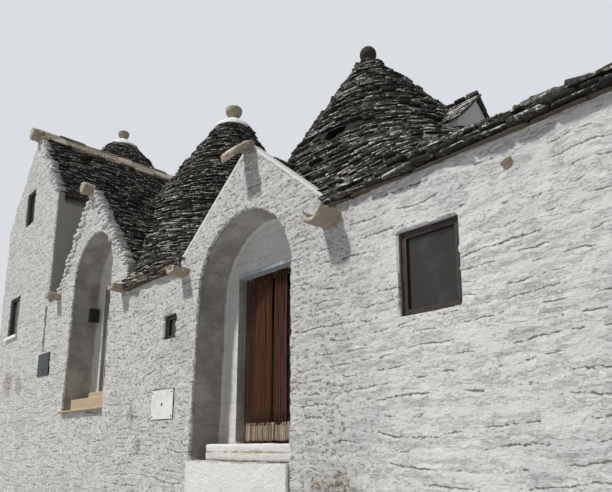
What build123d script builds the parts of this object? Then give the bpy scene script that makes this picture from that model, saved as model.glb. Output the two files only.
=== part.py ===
"""A connected trullo house: a gabled two-storey house, two portals and cone roofs.

The street fronts stand on the plane y = 0, +Y runs into the house, +X runs to the
right along the street, and z = 0 is the lowest point where the walls meet the ground.
All sizes are in millimetres.
"""
import os
from math import cos, radians, sin

from build123d import *

os.makedirs("parts", exist_ok=True)

# Plan, along the street
SIDE_X0 = -9200       # party wall of the rear trullo
GABLE_X0 = -7170      # left corner of the gabled house
GABLE_X1 = -4050      # right corner of the gabled house
PORTAL_S_X1 = -500    # right end of the small portal's wall
PORTAL_L_X0 = 1060    # left end of the large portal's wall
PORTAL_L_X1 = 3870    # right end of the large portal's wall
WING_CROSS_X0 = 4100  # wall between the large trullo and the wing
END_X1 = 7200         # plain party wall of the wing

# Plan, into the house
DEPTH = 6000
WALL = 700            # dry-stone wall
PORTAL_WALL = 850     # wall that holds the arched niches
SIDE_WALL = 600
CROSS_WALL = 660
REAR_SETBACK = 700    # the rear trullo stands back behind the gabled house

# Heights
EAVE = 3600           # wall head of the trulli and the wing
GABLE_EAVE = 6370     # wall head of the gabled house
EAVE_COURSE = 120     # projecting slabs on the wall head
EAVE_REACH = 90
FLOOR_L = 1140        # large trullo and wing
FLOOR_S = 2050        # small trullo
FLOOR_G = 2600        # gabled house, lower floor
FLOOR_U = 5100        # gabled house, upper floor
FLOOR_THICK = 200
PASSAGE_Y = 2500      # inner passages through the walls between the rooms
PASSAGE_W = 1000
LAYER_DROP = 240      # upright drop of a gabled wall head under its roofing
HIGH = 12000          # above every roof

# Gabled house
RIDGE_G_X = -5600
RIDGE_G_Z = 8330
RIDGE_CAP = 180       # half width of the ridge slabs
RIDGE_CAP_T = 90
ROLL = 150            # radius of the stone that ends the gabled house's ridge
ROLL_S = 110          # and of the small portal's
ROLL_REACH = 220
ROLL_SINK = 75        # the rolls' middles lie this far below the gables' tops
ROLL_S_SINK = 44

# Small portal and its trullo
NICHE_S_X0 = -2850
NICHE_S_X1 = -1150
ARCH_S_X0 = -2730
ARCH_S_SPRING = 4050
NICHE_S_DEPTH = 500
LANDING_Z = 1685
GABLE_S_X = -2200
GABLE_S_Z = 5780
GABLE_S_FOOT_X0 = -3620
GABLE_S_FOOT_X1 = -560
GABLE_S_FOOT_Z = 3940
DOOR_S_X0 = -2500
DOOR_S_X1 = -1400
DOOR_H = 2050
DOOR_S_SET = 60       # the door frame stands back from the niche's rear face
DOOR_S_DEPTH = 80
CURTAIN_S_GAP = 3     # beside the straw curtain
CURTAIN_S_LIFT = 20   # and under it
LANDING_T = 40
LANDING_REACH = 80
LANDING_SET = 20      # the landing starts inside the jamb's foot
TREAD_S_Z = 1930
TREAD_S_X0 = -2700
TREAD_S_Y = 100
TOP_TREAD_S_X0 = -2450
TOP_TREAD_S_Y = 300
CONE_S = (-2200, 3090)
CONE_S_TOP = 8250
CONE_S_TOP_R = 330
BELLY_S = (2650, 2070, 2200, 2200)  # reach to the left, right, front and back
BELLY_S_CORNER = 2150
BELLY_S_RISE = 1600   # height of the belly above the eave
VAULT_S = (1650, 1300, 1590, 1610)
VAULT_S_CORNER = 1300
VAULT_S_TOP_R = 150

# Large portal and its trullo
NICHE_L_X0 = 1450
ARCH_L_X0 = 1530
ARCH_L_X1 = 3350
ARCH_L_SPRING = 3000
NICHE_L_DEPTH = 450
GABLE_L_X = 2550
GABLE_L_Z = 4730
GABLE_L_FOOT_Z = 3600
DOOR_L_X0 = 1810
DOOR_L_X1 = 3070
DOOR_L_TOP = 3320
LINTEL_T = 45
LINTEL_REACH = 15     # the board stands out of the niche's rear face
LINTEL_SET = 100      # and ends short of the room
STEP_L_X0 = 1620      # left end of the large portal's upper step
STEP_L_Y = 130
STEP_L_REACH = 50
CURTAIN_SET = 110
CURTAIN_T = 20
CURTAIN_L_GAP = 5     # beside the brown curtain
CURTAIN_L_LIFT = 25   # and under it
COPING_T = 45
HOOD_W = 260          # tongue of stone that hoods the large portal's apex
HOOD_REACH = 330
HOOD_DROP = 240
HOOD_T = 75
HOOD_RISE = 20        # its root stands this far above the gable's top
HOOD_LEAN = 25
CONE_L = (2540, 2300)
CONE_L_TOP = 7050
CONE_L_TOP_R = 100
BELLY_L = (1471, 1860, 1406, 2060)
BELLY_L_CORNER = 1600
BELLY_L_RISE = 1400
VAULT_L = (940, 1310, 900, 1550)
VAULT_L_CORNER = 1000
VAULT_L_TOP_R = 120
VAULT_L_BACK = 400    # this vault springs further inside the back wall
LOOKOUT_X = 3030      # small hole in the front of the large cone
LOOKOUT_Z = 5040
LOOKOUT = 300

# Rear trullo
CONE_R = (-6920, 2600)
CONE_R_TOP = 9490
CONE_R_TOP_R = 330
BELLY_R = 1780
BELLY_R_DROP = 630    # the belly lies this far below the gabled house's ridge
VAULT_R_SIDE = 500    # the vault's top stands this far inside the side wall
VAULT_R_GABLE = 200   # this far from the gabled house
VAULT_R_FRONT = 1300  # this far behind the front wall's face
VAULT_R_BACK = 1000   # and reaches this far behind the cone's middle
VAULT_R_CORNER = 300
VAULT_R_DROP = 200    # its top lies this far below the belly

# Wing
WING_RIDGE = 5060
WING_SPLIT_X = 4520   # where the wing's roof meets the skirt of the large cone
ROOF_SPLIT_X = 740    # valley between the two cones

# Cone roofs
SKIRT = 40            # the roofing passes the wall faces by this much
BAND = 480            # height between the main ledges of a cone
LEDGE = 40            # each band starts this far inside the one below
CORNER_SIDES = 8      # straight lengths of slabs round each corner of a cone
VAULT_DROP = 20       # the vaults reach this far below the wall heads
VAULT_CROWN = 600     # stone above the vaults under the cones' tops
VAULT_G_CROWN = 770   # and above the gabled roof's vault
VAULT_W_CROWN = 460   # and above the wing's
VAULT_W_SET = 50
VAULT_SET = 100       # the vaults spring from this far inside the walls
SKIRT_CORNER = 500
SKIRT_S_LEFT = 1650   # how far the small cone's skirt runs on under the gabled roof
SKIRT_S_RIGHT = 60    # and ends short of the large portal
SKIRT_L_LEFT = 610    # how far the large cone's skirt runs on towards the small one
SKIRT_L_RIGHT = 1500  # and under the wing's roof
RING_CORNER = 0.88    # corner radius of a ring, as a share of its own radius

# Small gabled dormer on the right flank of the large cone
DORMER_X0 = 3440
DORMER_X1 = 4350
DORMER_Y = 2300
DORMER_HALF = 450
DORMER_EAVE = 5100
DORMER_RIDGE = 5550

# Small parts
STEP = 200
PARAPET = 150         # gable wall that stands in front of the roofing
RIDGE_S_DROP = 40     # the small portal's roof ridge lies below its gable's top
RIDGE_L_DROP = 60     # and the large portal's
PORTAL_L_SET = 60     # the large portal's roof stands in from the ends of its wall
FRAME_T = 60          # window frame section
FRAME_SET = 45        # window frames stand back from the wall's face
PANE_T = 8
CAP_H = 220           # white caps on the cones
CAP_LIP = 30
CAP_LIP_H = 35
CAP_TOP_R = 90
BOWL_S = (190, 260)   # radius and height of the carved pinnacles
BOWL_R = (155, 220)
BOWL_NECK = 80
BALL = 132
BALL_SEAT = 0.82      # height of its middle above the cone, as a share of its radius
SPOUT_REACH = 300
SPOUT_R = 150
SPOUT_WALL = 45
SPOUT_X = 3960
SPOUT_Z = 3400
EAVE_SPOUTS = ((-620, 3545), (1190, 3400), (-3450, 3950))
EAVE_SPOUT = 200      # width of the square spouts
EAVE_SPOUT_H = 100
EAVE_SPOUT_REACH = 250
EAVE_CHANNEL = 110    # width of their channels
METER = (470, 1040, 1470, 1860)
METER_T = 20
SLATE_CABINET = (-4230, -3650, 2470, 2900)
SLATE_CABINET_T = 30
SILL = 60
LETTERBOX_Z = 3390
LETTERBOX_W = 95
LETTERBOX_H = 250
LETTERBOX_Y = 320
LETTERBOX_D = 150

# Windows, as (x0, x1, z0, z1) in the front and back walls
UPPER_WINDOW = (-6060, -5500, 6100, 6930)
LOWER_WINDOW = (-6540, -5860, 3550, 4460)
WING_WINDOW = (4790, 5410, 2210, 2980)
LINK_WINDOW = (680, 1000, 2550, 2890)
REAR_UPPER_WINDOW = (-6060, -5500, 5900, 6730)
REAR_LOWER_WINDOW = (-6060, -5500, 3550, 4380)
REAR_SMALL_WINDOW = (-2500, -1880, 2700, 3400)
REAR_LARGE_WINDOW = (2230, 2850, 2210, 2980)
FRONT_WINDOWS = (UPPER_WINDOW, LOWER_WINDOW, LINK_WINDOW, WING_WINDOW)
REAR_WINDOWS = (REAR_UPPER_WINDOW, REAR_LOWER_WINDOW, REAR_SMALL_WINDOW, REAR_LARGE_WINDOW,
                WING_WINDOW)


def block(x0, x1, y0, y1, z0, z1, mode=Mode.ADD):
    """A box between two corners, in the part that is being built."""
    with Locations(((x0 + x1) / 2, (y0 + y1) / 2, (z0 + z1) / 2)):
        return Box(x1 - x0, y1 - y0, z1 - z0, mode=mode)


def save(piece, label):
    piece.label = label
    export_step(piece, f"parts/{label}.step")


def front_profile(points, y):
    """A closed outline of (x, z) points, drawn on the upright plane at depth y."""
    with BuildSketch(Plane.XZ.offset(-y)) as profile:
        with BuildLine():
            Polyline(*points, close=True)
        make_face()
    return profile.sketch


def side_profile(points, x):
    """A closed outline of (y, z) points, drawn on the upright plane at x."""
    with BuildSketch(Plane.YZ.offset(x)) as profile:
        with BuildLine():
            Polyline(*points, close=True)
        make_face()
    return profile.sketch


def arch_profile(foot_x0, foot_x1, spring_x0, spring_x1, foot_z, spring_z, y):
    """An opening with leaning jambs under a half-round arch."""
    radius = (spring_x1 - spring_x0) / 2
    with BuildSketch(Plane.XZ.offset(-y)) as profile:
        with BuildLine():
            Polyline((spring_x0, spring_z), (foot_x0, foot_z), (foot_x1, foot_z), (spring_x1, spring_z))
            ThreePointArc(
                (spring_x1, spring_z),
                ((spring_x0 + spring_x1) / 2, spring_z + radius),
                (spring_x0, spring_z),
            )
        make_face()
    return profile.sketch


def ring_outline(x0, x1, y0, y1, corner):
    """A rounded rectangle drawn with straight sides, as slabs are laid round a corner."""
    centres = ((x1 - corner, y1 - corner, 0), (x0 + corner, y1 - corner, 90),
               (x0 + corner, y0 + corner, 180), (x1 - corner, y0 + corner, 270))
    points = []
    for x, y, start in centres:
        for side in range(CORNER_SIDES + 1):
            angle = radians(start + 90 * side / CORNER_SIDES)
            points.append((x + corner * cos(angle), y + corner * sin(angle)))
    return points


def inset(section, step):
    """The same ring, drawn in by one step."""
    x0, x1, y0, y1, corner, z = section
    return (x0 + step, x1 - step, y0 + step, y1 - step, corner - step, z)


def frustum(foot, head):
    """The solid between two rings. Their sides are parallel, so that every face is flat."""
    low, high = ([Vector(x, y, ring[-1]) for x, y in ring_outline(*ring[:-1])] for ring in (foot, head))
    faces = [Face(Wire.make_polygon(corners)) for corners in (low, high)]
    for i in range(len(low)):
        j = (i + 1) % len(low)
        faces.append(Face(Wire.make_polygon([low[i], low[j], high[j], high[i]])))
    return Solid(Shell(faces))


def cone_form(sections, ledge=0):
    """A form that rises through (x0, x1, y0, y1, corner, z) rings. With a ledge, it goes up in
    bands that each start inside the one below."""
    with BuildPart() as cone:
        for low, high in zip(sections, sections[1:]):
            bands = max(1, round((high[-1] - low[-1]) / BAND)) if ledge else 1
            for band in range(bands):
                foot, head = ([a + (b - a) * k / bands for a, b in zip(low, high)]
                              for k in (band, band + 1))
                if foot[-1] > sections[0][-1]:
                    foot = inset(foot, ledge)
                add(frustum(foot, head))
    return cone.part


def belly(centre, reach, corner, z):
    """The ring where a cone's flared skirt ends, from its reach to each side."""
    x, y = centre
    left, right, front, back = reach
    return (x - left, x + right, y - front, y + back, corner, z)


def ring(centre, radius, z):
    """A nearly round ring of a cone form."""
    x, y = centre
    return (x - radius, x + radius, y - radius, y + radius, radius * RING_CORNER, z)


def ridge_form(points, y0, y1):
    """A roof whose ridge runs into the house."""
    with BuildPart() as roof:
        extrude(front_profile(points, y0), amount=-(y1 - y0))
    return roof.part


# Outer forms of the roofs
cone_s_form = cone_form([
    (GABLE_X1 - SKIRT_S_LEFT, PORTAL_L_X0 - SKIRT_S_RIGHT, -SKIRT, DEPTH + SKIRT, SKIRT_CORNER, EAVE),
    belly(CONE_S, BELLY_S, BELLY_S_CORNER, EAVE + BELLY_S_RISE),
    ring(CONE_S, CONE_S_TOP_R, CONE_S_TOP),
], LEDGE)
cone_l_form = cone_form([
    (PORTAL_L_X0 - SKIRT_L_LEFT, WING_CROSS_X0 + SKIRT_L_RIGHT, -SKIRT, DEPTH + SKIRT, SKIRT_CORNER,
     EAVE),
    belly(CONE_L, BELLY_L, BELLY_L_CORNER, EAVE + BELLY_L_RISE),
    ring(CONE_L, CONE_L_TOP_R, CONE_L_TOP),
], LEDGE)
cone_r_form = cone_form([
    (SIDE_X0 - SKIRT, RIDGE_G_X + BELLY_R, REAR_SETBACK - SKIRT, DEPTH + SKIRT, SKIRT_CORNER, GABLE_EAVE),
    ring(CONE_R, BELLY_R, RIDGE_G_Z - BELLY_R_DROP),
    ring(CONE_R, CONE_R_TOP_R, CONE_R_TOP),
], LEDGE)
gable_outline = [
    (GABLE_X0, GABLE_EAVE), (GABLE_X1, GABLE_EAVE), (RIDGE_G_X, RIDGE_G_Z),
]
gable_form = ridge_form(gable_outline, 0, DEPTH)
portal_s_form = ridge_form(
    [(GABLE_S_FOOT_X0, EAVE), (GABLE_S_FOOT_X1, EAVE), (GABLE_S_FOOT_X1, GABLE_S_FOOT_Z),
     (GABLE_S_X, GABLE_S_Z - RIDGE_S_DROP), (GABLE_S_FOOT_X0, GABLE_S_FOOT_Z)],
    PARAPET, CONE_S[1],
)
portal_l_form = ridge_form(
    [(PORTAL_L_X0 + PORTAL_L_SET, EAVE), (PORTAL_L_X1 - PORTAL_L_SET, EAVE),
     (GABLE_L_X, GABLE_L_Z - RIDGE_L_DROP)],
    PARAPET, CONE_L[1],
)
with BuildPart() as wing_form:
    extrude(
        side_profile([(-EAVE_REACH, EAVE), (DEPTH + EAVE_REACH, EAVE), (DEPTH / 2, WING_RIDGE)],
                     PORTAL_L_X1),
        amount=END_X1 - PORTAL_L_X1,
    )
with BuildPart() as street_roofs:
    add(cone_s_form)
    add(portal_s_form)
    add(cone_l_form)
    add(portal_l_form)
    add(wing_form.part)

# Rooms under the cones
vault_s = cone_form([
    (GABLE_X1 + VAULT_SET, PORTAL_L_X0 - CROSS_WALL - VAULT_SET, PORTAL_WALL + VAULT_SET,
     DEPTH - WALL - VAULT_SET, SKIRT_CORNER, EAVE - VAULT_DROP),
    belly(CONE_S, VAULT_S, VAULT_S_CORNER, EAVE + BELLY_S_RISE),
    ring(CONE_S, VAULT_S_TOP_R, CONE_S_TOP - CAP_H - VAULT_CROWN),
])
vault_l = cone_form([
    (PORTAL_L_X0 + VAULT_SET, WING_CROSS_X0 - VAULT_SET, PORTAL_WALL + VAULT_SET,
     DEPTH - WALL - VAULT_L_BACK, SKIRT_CORNER, EAVE - VAULT_DROP),
    belly(CONE_L, VAULT_L, VAULT_L_CORNER, EAVE + BELLY_L_RISE),
    ring(CONE_L, VAULT_L_TOP_R, CONE_L_TOP - VAULT_CROWN),
])
vault_r = cone_form([
    (SIDE_X0 + SIDE_WALL + VAULT_SET, GABLE_X0 - VAULT_SET, REAR_SETBACK + WALL + VAULT_SET,
     DEPTH - WALL - VAULT_SET, SKIRT_CORNER, GABLE_EAVE - VAULT_DROP),
    (SIDE_X0 + SIDE_WALL + VAULT_R_SIDE, GABLE_X0 - VAULT_R_GABLE, REAR_SETBACK + VAULT_R_FRONT,
     CONE_R[1] + VAULT_R_BACK, VAULT_R_CORNER, RIDGE_G_Z - BELLY_R_DROP - VAULT_R_DROP),
])
with BuildPart() as vault_g:
    extrude(
        front_profile([(GABLE_X0 + WALL, GABLE_EAVE - VAULT_DROP),
                       (GABLE_X1 - WALL, GABLE_EAVE - VAULT_DROP),
                       (RIDGE_G_X, RIDGE_G_Z - VAULT_G_CROWN)], WALL),
        amount=-(DEPTH - 2 * WALL),
    )
with BuildPart() as vault_w:
    extrude(
        side_profile([(WALL + VAULT_W_SET, EAVE - VAULT_DROP),
                      (DEPTH - WALL - VAULT_W_SET, EAVE - VAULT_DROP),
                      (DEPTH / 2, WING_RIDGE - VAULT_W_CROWN)], WING_CROSS_X0 + SIDE_WALL + VAULT_SET),
        amount=END_X1 - WING_CROSS_X0 - 2 * SIDE_WALL - VAULT_SET - VAULT_W_SET,
    )


def cut_window(window, y0, y1):
    x0, x1, z0, z1 = window
    block(x0, x1, y0, y1, z0, z1, mode=Mode.SUBTRACT)


def window_frame(window, y0, depth=FRAME_T):
    """A ring of frame bars that lines an opening."""
    x0, x1, z0, z1 = window
    block(x0, x1, y0, y0 + depth, z0, z1)
    block(x0 + FRAME_T, x1 - FRAME_T, y0, y0 + depth, z0 + FRAME_T, z1 - FRAME_T,
          mode=Mode.SUBTRACT)


def window_pane(window, y0):
    """A sheet of glass that meets the inner edges of its frame."""
    x0, x1, z0, z1 = window
    block(x0 + FRAME_T, x1 - FRAME_T, y0, y0 + PANE_T, z0 + FRAME_T, z1 - FRAME_T)


# Walls of the gabled house and the rear trullo, each first as an uncut mass
with BuildPart() as gable_front_mass:
    extrude(front_profile(
        [(GABLE_X0, 0), (GABLE_X1, 0), (GABLE_X1, GABLE_EAVE), (RIDGE_G_X, RIDGE_G_Z),
         (GABLE_X0, GABLE_EAVE)], 0), amount=-PARAPET)
    extrude(front_profile(
        [(GABLE_X0, 0), (GABLE_X1, 0), (GABLE_X1, GABLE_EAVE - LAYER_DROP),
         (RIDGE_G_X, RIDGE_G_Z - LAYER_DROP), (GABLE_X0, GABLE_EAVE - LAYER_DROP)],
        PARAPET), amount=-(WALL - PARAPET))
with BuildPart() as gable_front_wall:
    add(gable_front_mass.part)
    cut_window(UPPER_WINDOW, 0, WALL)
    cut_window(LOWER_WINDOW, 0, WALL)

with BuildPart() as gable_right_wall:
    block(GABLE_X1 - SIDE_WALL, GABLE_X1, WALL, DEPTH - WALL, 0, GABLE_EAVE)
    block(GABLE_X1 - SIDE_WALL, GABLE_X1, PASSAGE_Y, PASSAGE_Y + PASSAGE_W,
          FLOOR_G, FLOOR_G + DOOR_H, mode=Mode.SUBTRACT)

with BuildPart() as gable_left_wall:
    block(GABLE_X0, GABLE_X0 + SIDE_WALL, REAR_SETBACK + WALL, DEPTH - WALL, 0, GABLE_EAVE)

with BuildPart() as gable_back_mass:
    extrude(front_profile(
        [(SIDE_X0, 0), (GABLE_X1, 0), (GABLE_X1, GABLE_EAVE), (RIDGE_G_X, RIDGE_G_Z - LAYER_DROP),
         (GABLE_X0, GABLE_EAVE), (SIDE_X0, GABLE_EAVE)],
        DEPTH - WALL), amount=-WALL)
with BuildPart() as gable_back_wall:
    add(gable_back_mass.part)
    cut_window(REAR_UPPER_WINDOW, DEPTH - WALL, DEPTH)
    cut_window(REAR_LOWER_WINDOW, DEPTH - WALL, DEPTH)

with BuildPart() as rear_trullo_front_wall:
    block(SIDE_X0, GABLE_X0 + SIDE_WALL, REAR_SETBACK, REAR_SETBACK + WALL, 0, GABLE_EAVE)

with BuildPart() as rear_trullo_side_wall:
    block(SIDE_X0, SIDE_X0 + SIDE_WALL, REAR_SETBACK + WALL, DEPTH - WALL, 0, GABLE_EAVE)

# Front walls of the trulli and the wing
with BuildPart() as small_portal_mass:
    block(GABLE_X1, PORTAL_S_X1, 0, PORTAL_WALL, 0, EAVE)
    extrude(front_profile(
        [(GABLE_X1, EAVE), (GABLE_X1, GABLE_S_FOOT_Z), (GABLE_S_FOOT_X0, GABLE_S_FOOT_Z),
         (GABLE_S_X, GABLE_S_Z), (GABLE_S_FOOT_X1, GABLE_S_FOOT_Z), (GABLE_S_FOOT_X1, EAVE)], 0),
        amount=-PARAPET)
    extrude(front_profile(
        [(GABLE_S_FOOT_X0, EAVE), (GABLE_S_FOOT_X0, GABLE_S_FOOT_Z - LAYER_DROP),
         (GABLE_S_X, GABLE_S_Z - LAYER_DROP), (GABLE_S_FOOT_X1, GABLE_S_FOOT_Z - LAYER_DROP),
         (GABLE_S_FOOT_X1, EAVE)], PARAPET), amount=-(PORTAL_WALL - PARAPET))
with BuildPart() as small_portal_wall:
    add(small_portal_mass.part)
    extrude(arch_profile(NICHE_S_X0, NICHE_S_X1, ARCH_S_X0, NICHE_S_X1, LANDING_Z,
                         ARCH_S_SPRING, 0), amount=-NICHE_S_DEPTH, mode=Mode.SUBTRACT)
    block(DOOR_S_X0, DOOR_S_X1, 0, PORTAL_WALL, FLOOR_S, FLOOR_S + DOOR_H, mode=Mode.SUBTRACT)

with BuildPart() as link_wall:
    block(PORTAL_S_X1, PORTAL_L_X0, 0, WALL, 0, EAVE - EAVE_COURSE)
    cut_window(LINK_WINDOW, 0, WALL)

with BuildPart() as large_portal_mass:
    block(PORTAL_L_X0, PORTAL_L_X1, 0, PORTAL_WALL, 0, EAVE)
    extrude(front_profile(
        [(PORTAL_L_X0, GABLE_L_FOOT_Z), (GABLE_L_X, GABLE_L_Z), (PORTAL_L_X1, GABLE_L_FOOT_Z)],
        0), amount=-PARAPET)
    extrude(front_profile(
        [(PORTAL_L_X0 + LAYER_DROP, EAVE), (GABLE_L_X, GABLE_L_Z - LAYER_DROP),
         (PORTAL_L_X1 - LAYER_DROP, EAVE)], PARAPET), amount=-(PORTAL_WALL - PARAPET))
with BuildPart() as large_portal_wall:
    add(large_portal_mass.part)
    extrude(arch_profile(NICHE_L_X0, ARCH_L_X1, ARCH_L_X0, ARCH_L_X1, FLOOR_L - STEP,
                         ARCH_L_SPRING, 0), amount=-NICHE_L_DEPTH, mode=Mode.SUBTRACT)
    block(DOOR_L_X0, DOOR_L_X1, 0, PORTAL_WALL, FLOOR_L, DOOR_L_TOP, mode=Mode.SUBTRACT)

with BuildPart() as wing_front_wall:
    block(PORTAL_L_X1, END_X1, 0, WALL, 0, EAVE - EAVE_COURSE)
    cut_window(WING_WINDOW, 0, WALL)

with BuildPart() as wing_end_wall:
    extrude(side_profile(
        [(WALL, 0), (DEPTH - WALL, 0), (DEPTH - WALL, EAVE), (DEPTH, EAVE),
         (DEPTH / 2, WING_RIDGE - EAVE_COURSE), (0, EAVE), (WALL, EAVE)], END_X1 - SIDE_WALL),
        amount=SIDE_WALL)

with BuildPart() as wing_cross_wall:
    block(WING_CROSS_X0, WING_CROSS_X0 + SIDE_WALL, WALL, DEPTH - WALL, 0, EAVE)
    block(WING_CROSS_X0, WING_CROSS_X0 + SIDE_WALL, PASSAGE_Y, PASSAGE_Y + PASSAGE_W,
          FLOOR_L, FLOOR_L + DOOR_H, mode=Mode.SUBTRACT)

with BuildPart() as valley_cross_wall:
    block(PORTAL_L_X0 - CROSS_WALL, PORTAL_L_X0, WALL, DEPTH - WALL, 0, EAVE)

with BuildPart() as long_back_wall:
    block(GABLE_X1, END_X1, DEPTH - WALL, DEPTH, 0, EAVE)
    cut_window(REAR_SMALL_WINDOW, DEPTH - WALL, DEPTH)
    cut_window(REAR_LARGE_WINDOW, DEPTH - WALL, DEPTH)
    cut_window(WING_WINDOW, DEPTH - WALL, DEPTH)

# Projecting courses of thick slabs on the wall heads
with BuildPart() as eave_courses:
    block(PORTAL_L_X1, END_X1, -EAVE_REACH, WALL, EAVE - EAVE_COURSE, EAVE)
    block(PORTAL_S_X1, PORTAL_L_X0, -EAVE_REACH, WALL, EAVE - EAVE_COURSE, EAVE)

# Floors
with BuildPart() as gable_floors:
    for floor in (FLOOR_G, FLOOR_U):
        block(GABLE_X0 + SIDE_WALL, GABLE_X1 - SIDE_WALL, REAR_SETBACK + WALL, DEPTH - WALL,
              floor - FLOOR_THICK, floor)
with BuildPart() as small_trullo_floor:
    block(GABLE_X1, PORTAL_L_X0 - CROSS_WALL, PORTAL_WALL, DEPTH - WALL,
          FLOOR_S - FLOOR_THICK, FLOOR_S)
with BuildPart() as ground_floors:
    block(PORTAL_L_X0, WING_CROSS_X0, PORTAL_WALL, DEPTH - WALL, FLOOR_L - FLOOR_THICK, FLOOR_L)
    block(WING_CROSS_X0 + SIDE_WALL, END_X1 - SIDE_WALL, WALL, DEPTH - WALL,
              FLOOR_L - FLOOR_THICK, FLOOR_L)


# Roofs, each cut from the joined outer forms so that the valleys run true
def roof_cell(x0, x1, y0=-EAVE_REACH, y1=DEPTH + EAVE_REACH):
    """The part of the joined roofs between two planes across the street and two along it."""
    add(street_roofs.part)
    block(x0, x1, y0, y1, EAVE, HIGH, mode=Mode.INTERSECT)


def clear_small_cone():
    """Takes the walls, the room and the doorway out of the small cone's roofing."""
    add(gable_form, mode=Mode.SUBTRACT)
    block(GABLE_X1 - SIDE_WALL, GABLE_X1, WALL, DEPTH - WALL, 0, GABLE_EAVE, mode=Mode.SUBTRACT)
    block(GABLE_X1, GABLE_S_FOOT_X1, -EAVE_REACH, PARAPET, EAVE, HIGH, mode=Mode.SUBTRACT)
    add(small_portal_mass.part, mode=Mode.SUBTRACT)
    add(vault_s, mode=Mode.SUBTRACT)
    block(DOOR_S_X0, DOOR_S_X1, PARAPET, CONE_S[1], EAVE - VAULT_DROP, FLOOR_S + DOOR_H,
          mode=Mode.SUBTRACT)


def clear_large_cone():
    """Takes the walls, the room and the lookout hole out of the large cone's roofing."""
    block(PORTAL_L_X0, PORTAL_L_X1, -EAVE_REACH, PARAPET, EAVE, HIGH, mode=Mode.SUBTRACT)
    add(large_portal_mass.part, mode=Mode.SUBTRACT)
    add(vault_l, mode=Mode.SUBTRACT)
    block(LOOKOUT_X - LOOKOUT / 2, LOOKOUT_X + LOOKOUT / 2, 0, CONE_L[1],
          LOOKOUT_Z - LOOKOUT / 2, LOOKOUT_Z + LOOKOUT / 2, mode=Mode.SUBTRACT)


with BuildPart() as small_cone_front:
    roof_cell(GABLE_X1, ROOF_SPLIT_X, y1=CONE_S[1])
    clear_small_cone()

with BuildPart() as small_cone_rear:
    roof_cell(GABLE_X1, ROOF_SPLIT_X, y0=CONE_S[1])
    clear_small_cone()

with BuildPart() as large_cone_front:
    roof_cell(ROOF_SPLIT_X, WING_SPLIT_X, y1=CONE_L[1])
    clear_large_cone()

with BuildPart() as large_cone_rear:
    roof_cell(ROOF_SPLIT_X, WING_SPLIT_X, y0=CONE_L[1])
    clear_large_cone()

with BuildPart() as wing_roof:
    roof_cell(WING_SPLIT_X, END_X1)
    add(wing_end_wall.part, mode=Mode.SUBTRACT)
    add(vault_w.part, mode=Mode.SUBTRACT)

with BuildPart() as gable_roof:
    add(gable_form)
    add(gable_front_mass.part, mode=Mode.SUBTRACT)
    add(gable_back_mass.part, mode=Mode.SUBTRACT)
    add(vault_g.part, mode=Mode.SUBTRACT)

with BuildPart() as rear_cone_roof:
    add(cone_r_form)
    block(RIDGE_G_X, RIDGE_G_X + BELLY_R, 0, DEPTH + SKIRT, GABLE_EAVE, HIGH, mode=Mode.SUBTRACT)
    add(gable_form, mode=Mode.SUBTRACT)
    add(gable_front_mass.part, mode=Mode.SUBTRACT)
    add(vault_r, mode=Mode.SUBTRACT)


# Ridge slabs and the rolls that end the ridges
right_slope = (RIDGE_G_Z - GABLE_EAVE) / (GABLE_X1 - RIDGE_G_X)
left_slope = (RIDGE_G_Z - GABLE_EAVE) / (RIDGE_G_X - GABLE_X0)
cap_right = (RIDGE_G_X + RIDGE_CAP, RIDGE_G_Z - RIDGE_CAP * right_slope)
cap_left = (RIDGE_G_X - RIDGE_CAP, RIDGE_G_Z - RIDGE_CAP * left_slope)
with BuildPart() as ridge_slabs:
    extrude(front_profile([
        cap_left, (RIDGE_G_X, RIDGE_G_Z), cap_right,
        (cap_right[0], cap_right[1] + RIDGE_CAP_T), (RIDGE_G_X, RIDGE_G_Z + RIDGE_CAP_T),
        (cap_left[0], cap_left[1] + RIDGE_CAP_T)], 0), amount=-DEPTH)
    add(cone_r_form, mode=Mode.SUBTRACT)


def ridge_roll(x, z, radius, reach):
    """A round stone that stands out of a gable's apex."""
    with BuildPart() as roll:
        with BuildSketch(Plane.XZ):
            with Locations((x, z)):
                Circle(radius)
        extrude(amount=reach)
        fillet(roll.faces().sort_by(Axis.Y)[0].edges(), radius * 0.3)
    return roll.part


with BuildPart() as apex_stones:
    add(ridge_roll(RIDGE_G_X, RIDGE_G_Z - ROLL_SINK, ROLL, ROLL_REACH))
    add(ridge_roll(GABLE_S_X, GABLE_S_Z - ROLL_S_SINK, ROLL_S, ROLL_REACH))

# The tongue of stone that hoods the large portal's apex
top_z = GABLE_L_Z + HOOD_RISE
with BuildPart() as large_apex_slab:
    with BuildSketch(Plane.YZ.offset(GABLE_L_X - HOOD_W / 2)):
        with BuildLine():
            Polyline((0, top_z - HOOD_T), (0, top_z))
            ThreePointArc((0, top_z), (-HOOD_REACH * 0.55, top_z - HOOD_DROP * 0.33),
                          (-HOOD_REACH, top_z - HOOD_DROP))
            Polyline((-HOOD_REACH, top_z - HOOD_DROP), (-HOOD_REACH + HOOD_LEAN, top_z - HOOD_DROP - HOOD_T))
            ThreePointArc((-HOOD_REACH + HOOD_LEAN, top_z - HOOD_DROP - HOOD_T),
                          (-HOOD_REACH * 0.5, top_z - HOOD_DROP * 0.33 - HOOD_T),
                          (0, top_z - HOOD_T))
        make_face()
    extrude(amount=HOOD_W)


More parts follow.
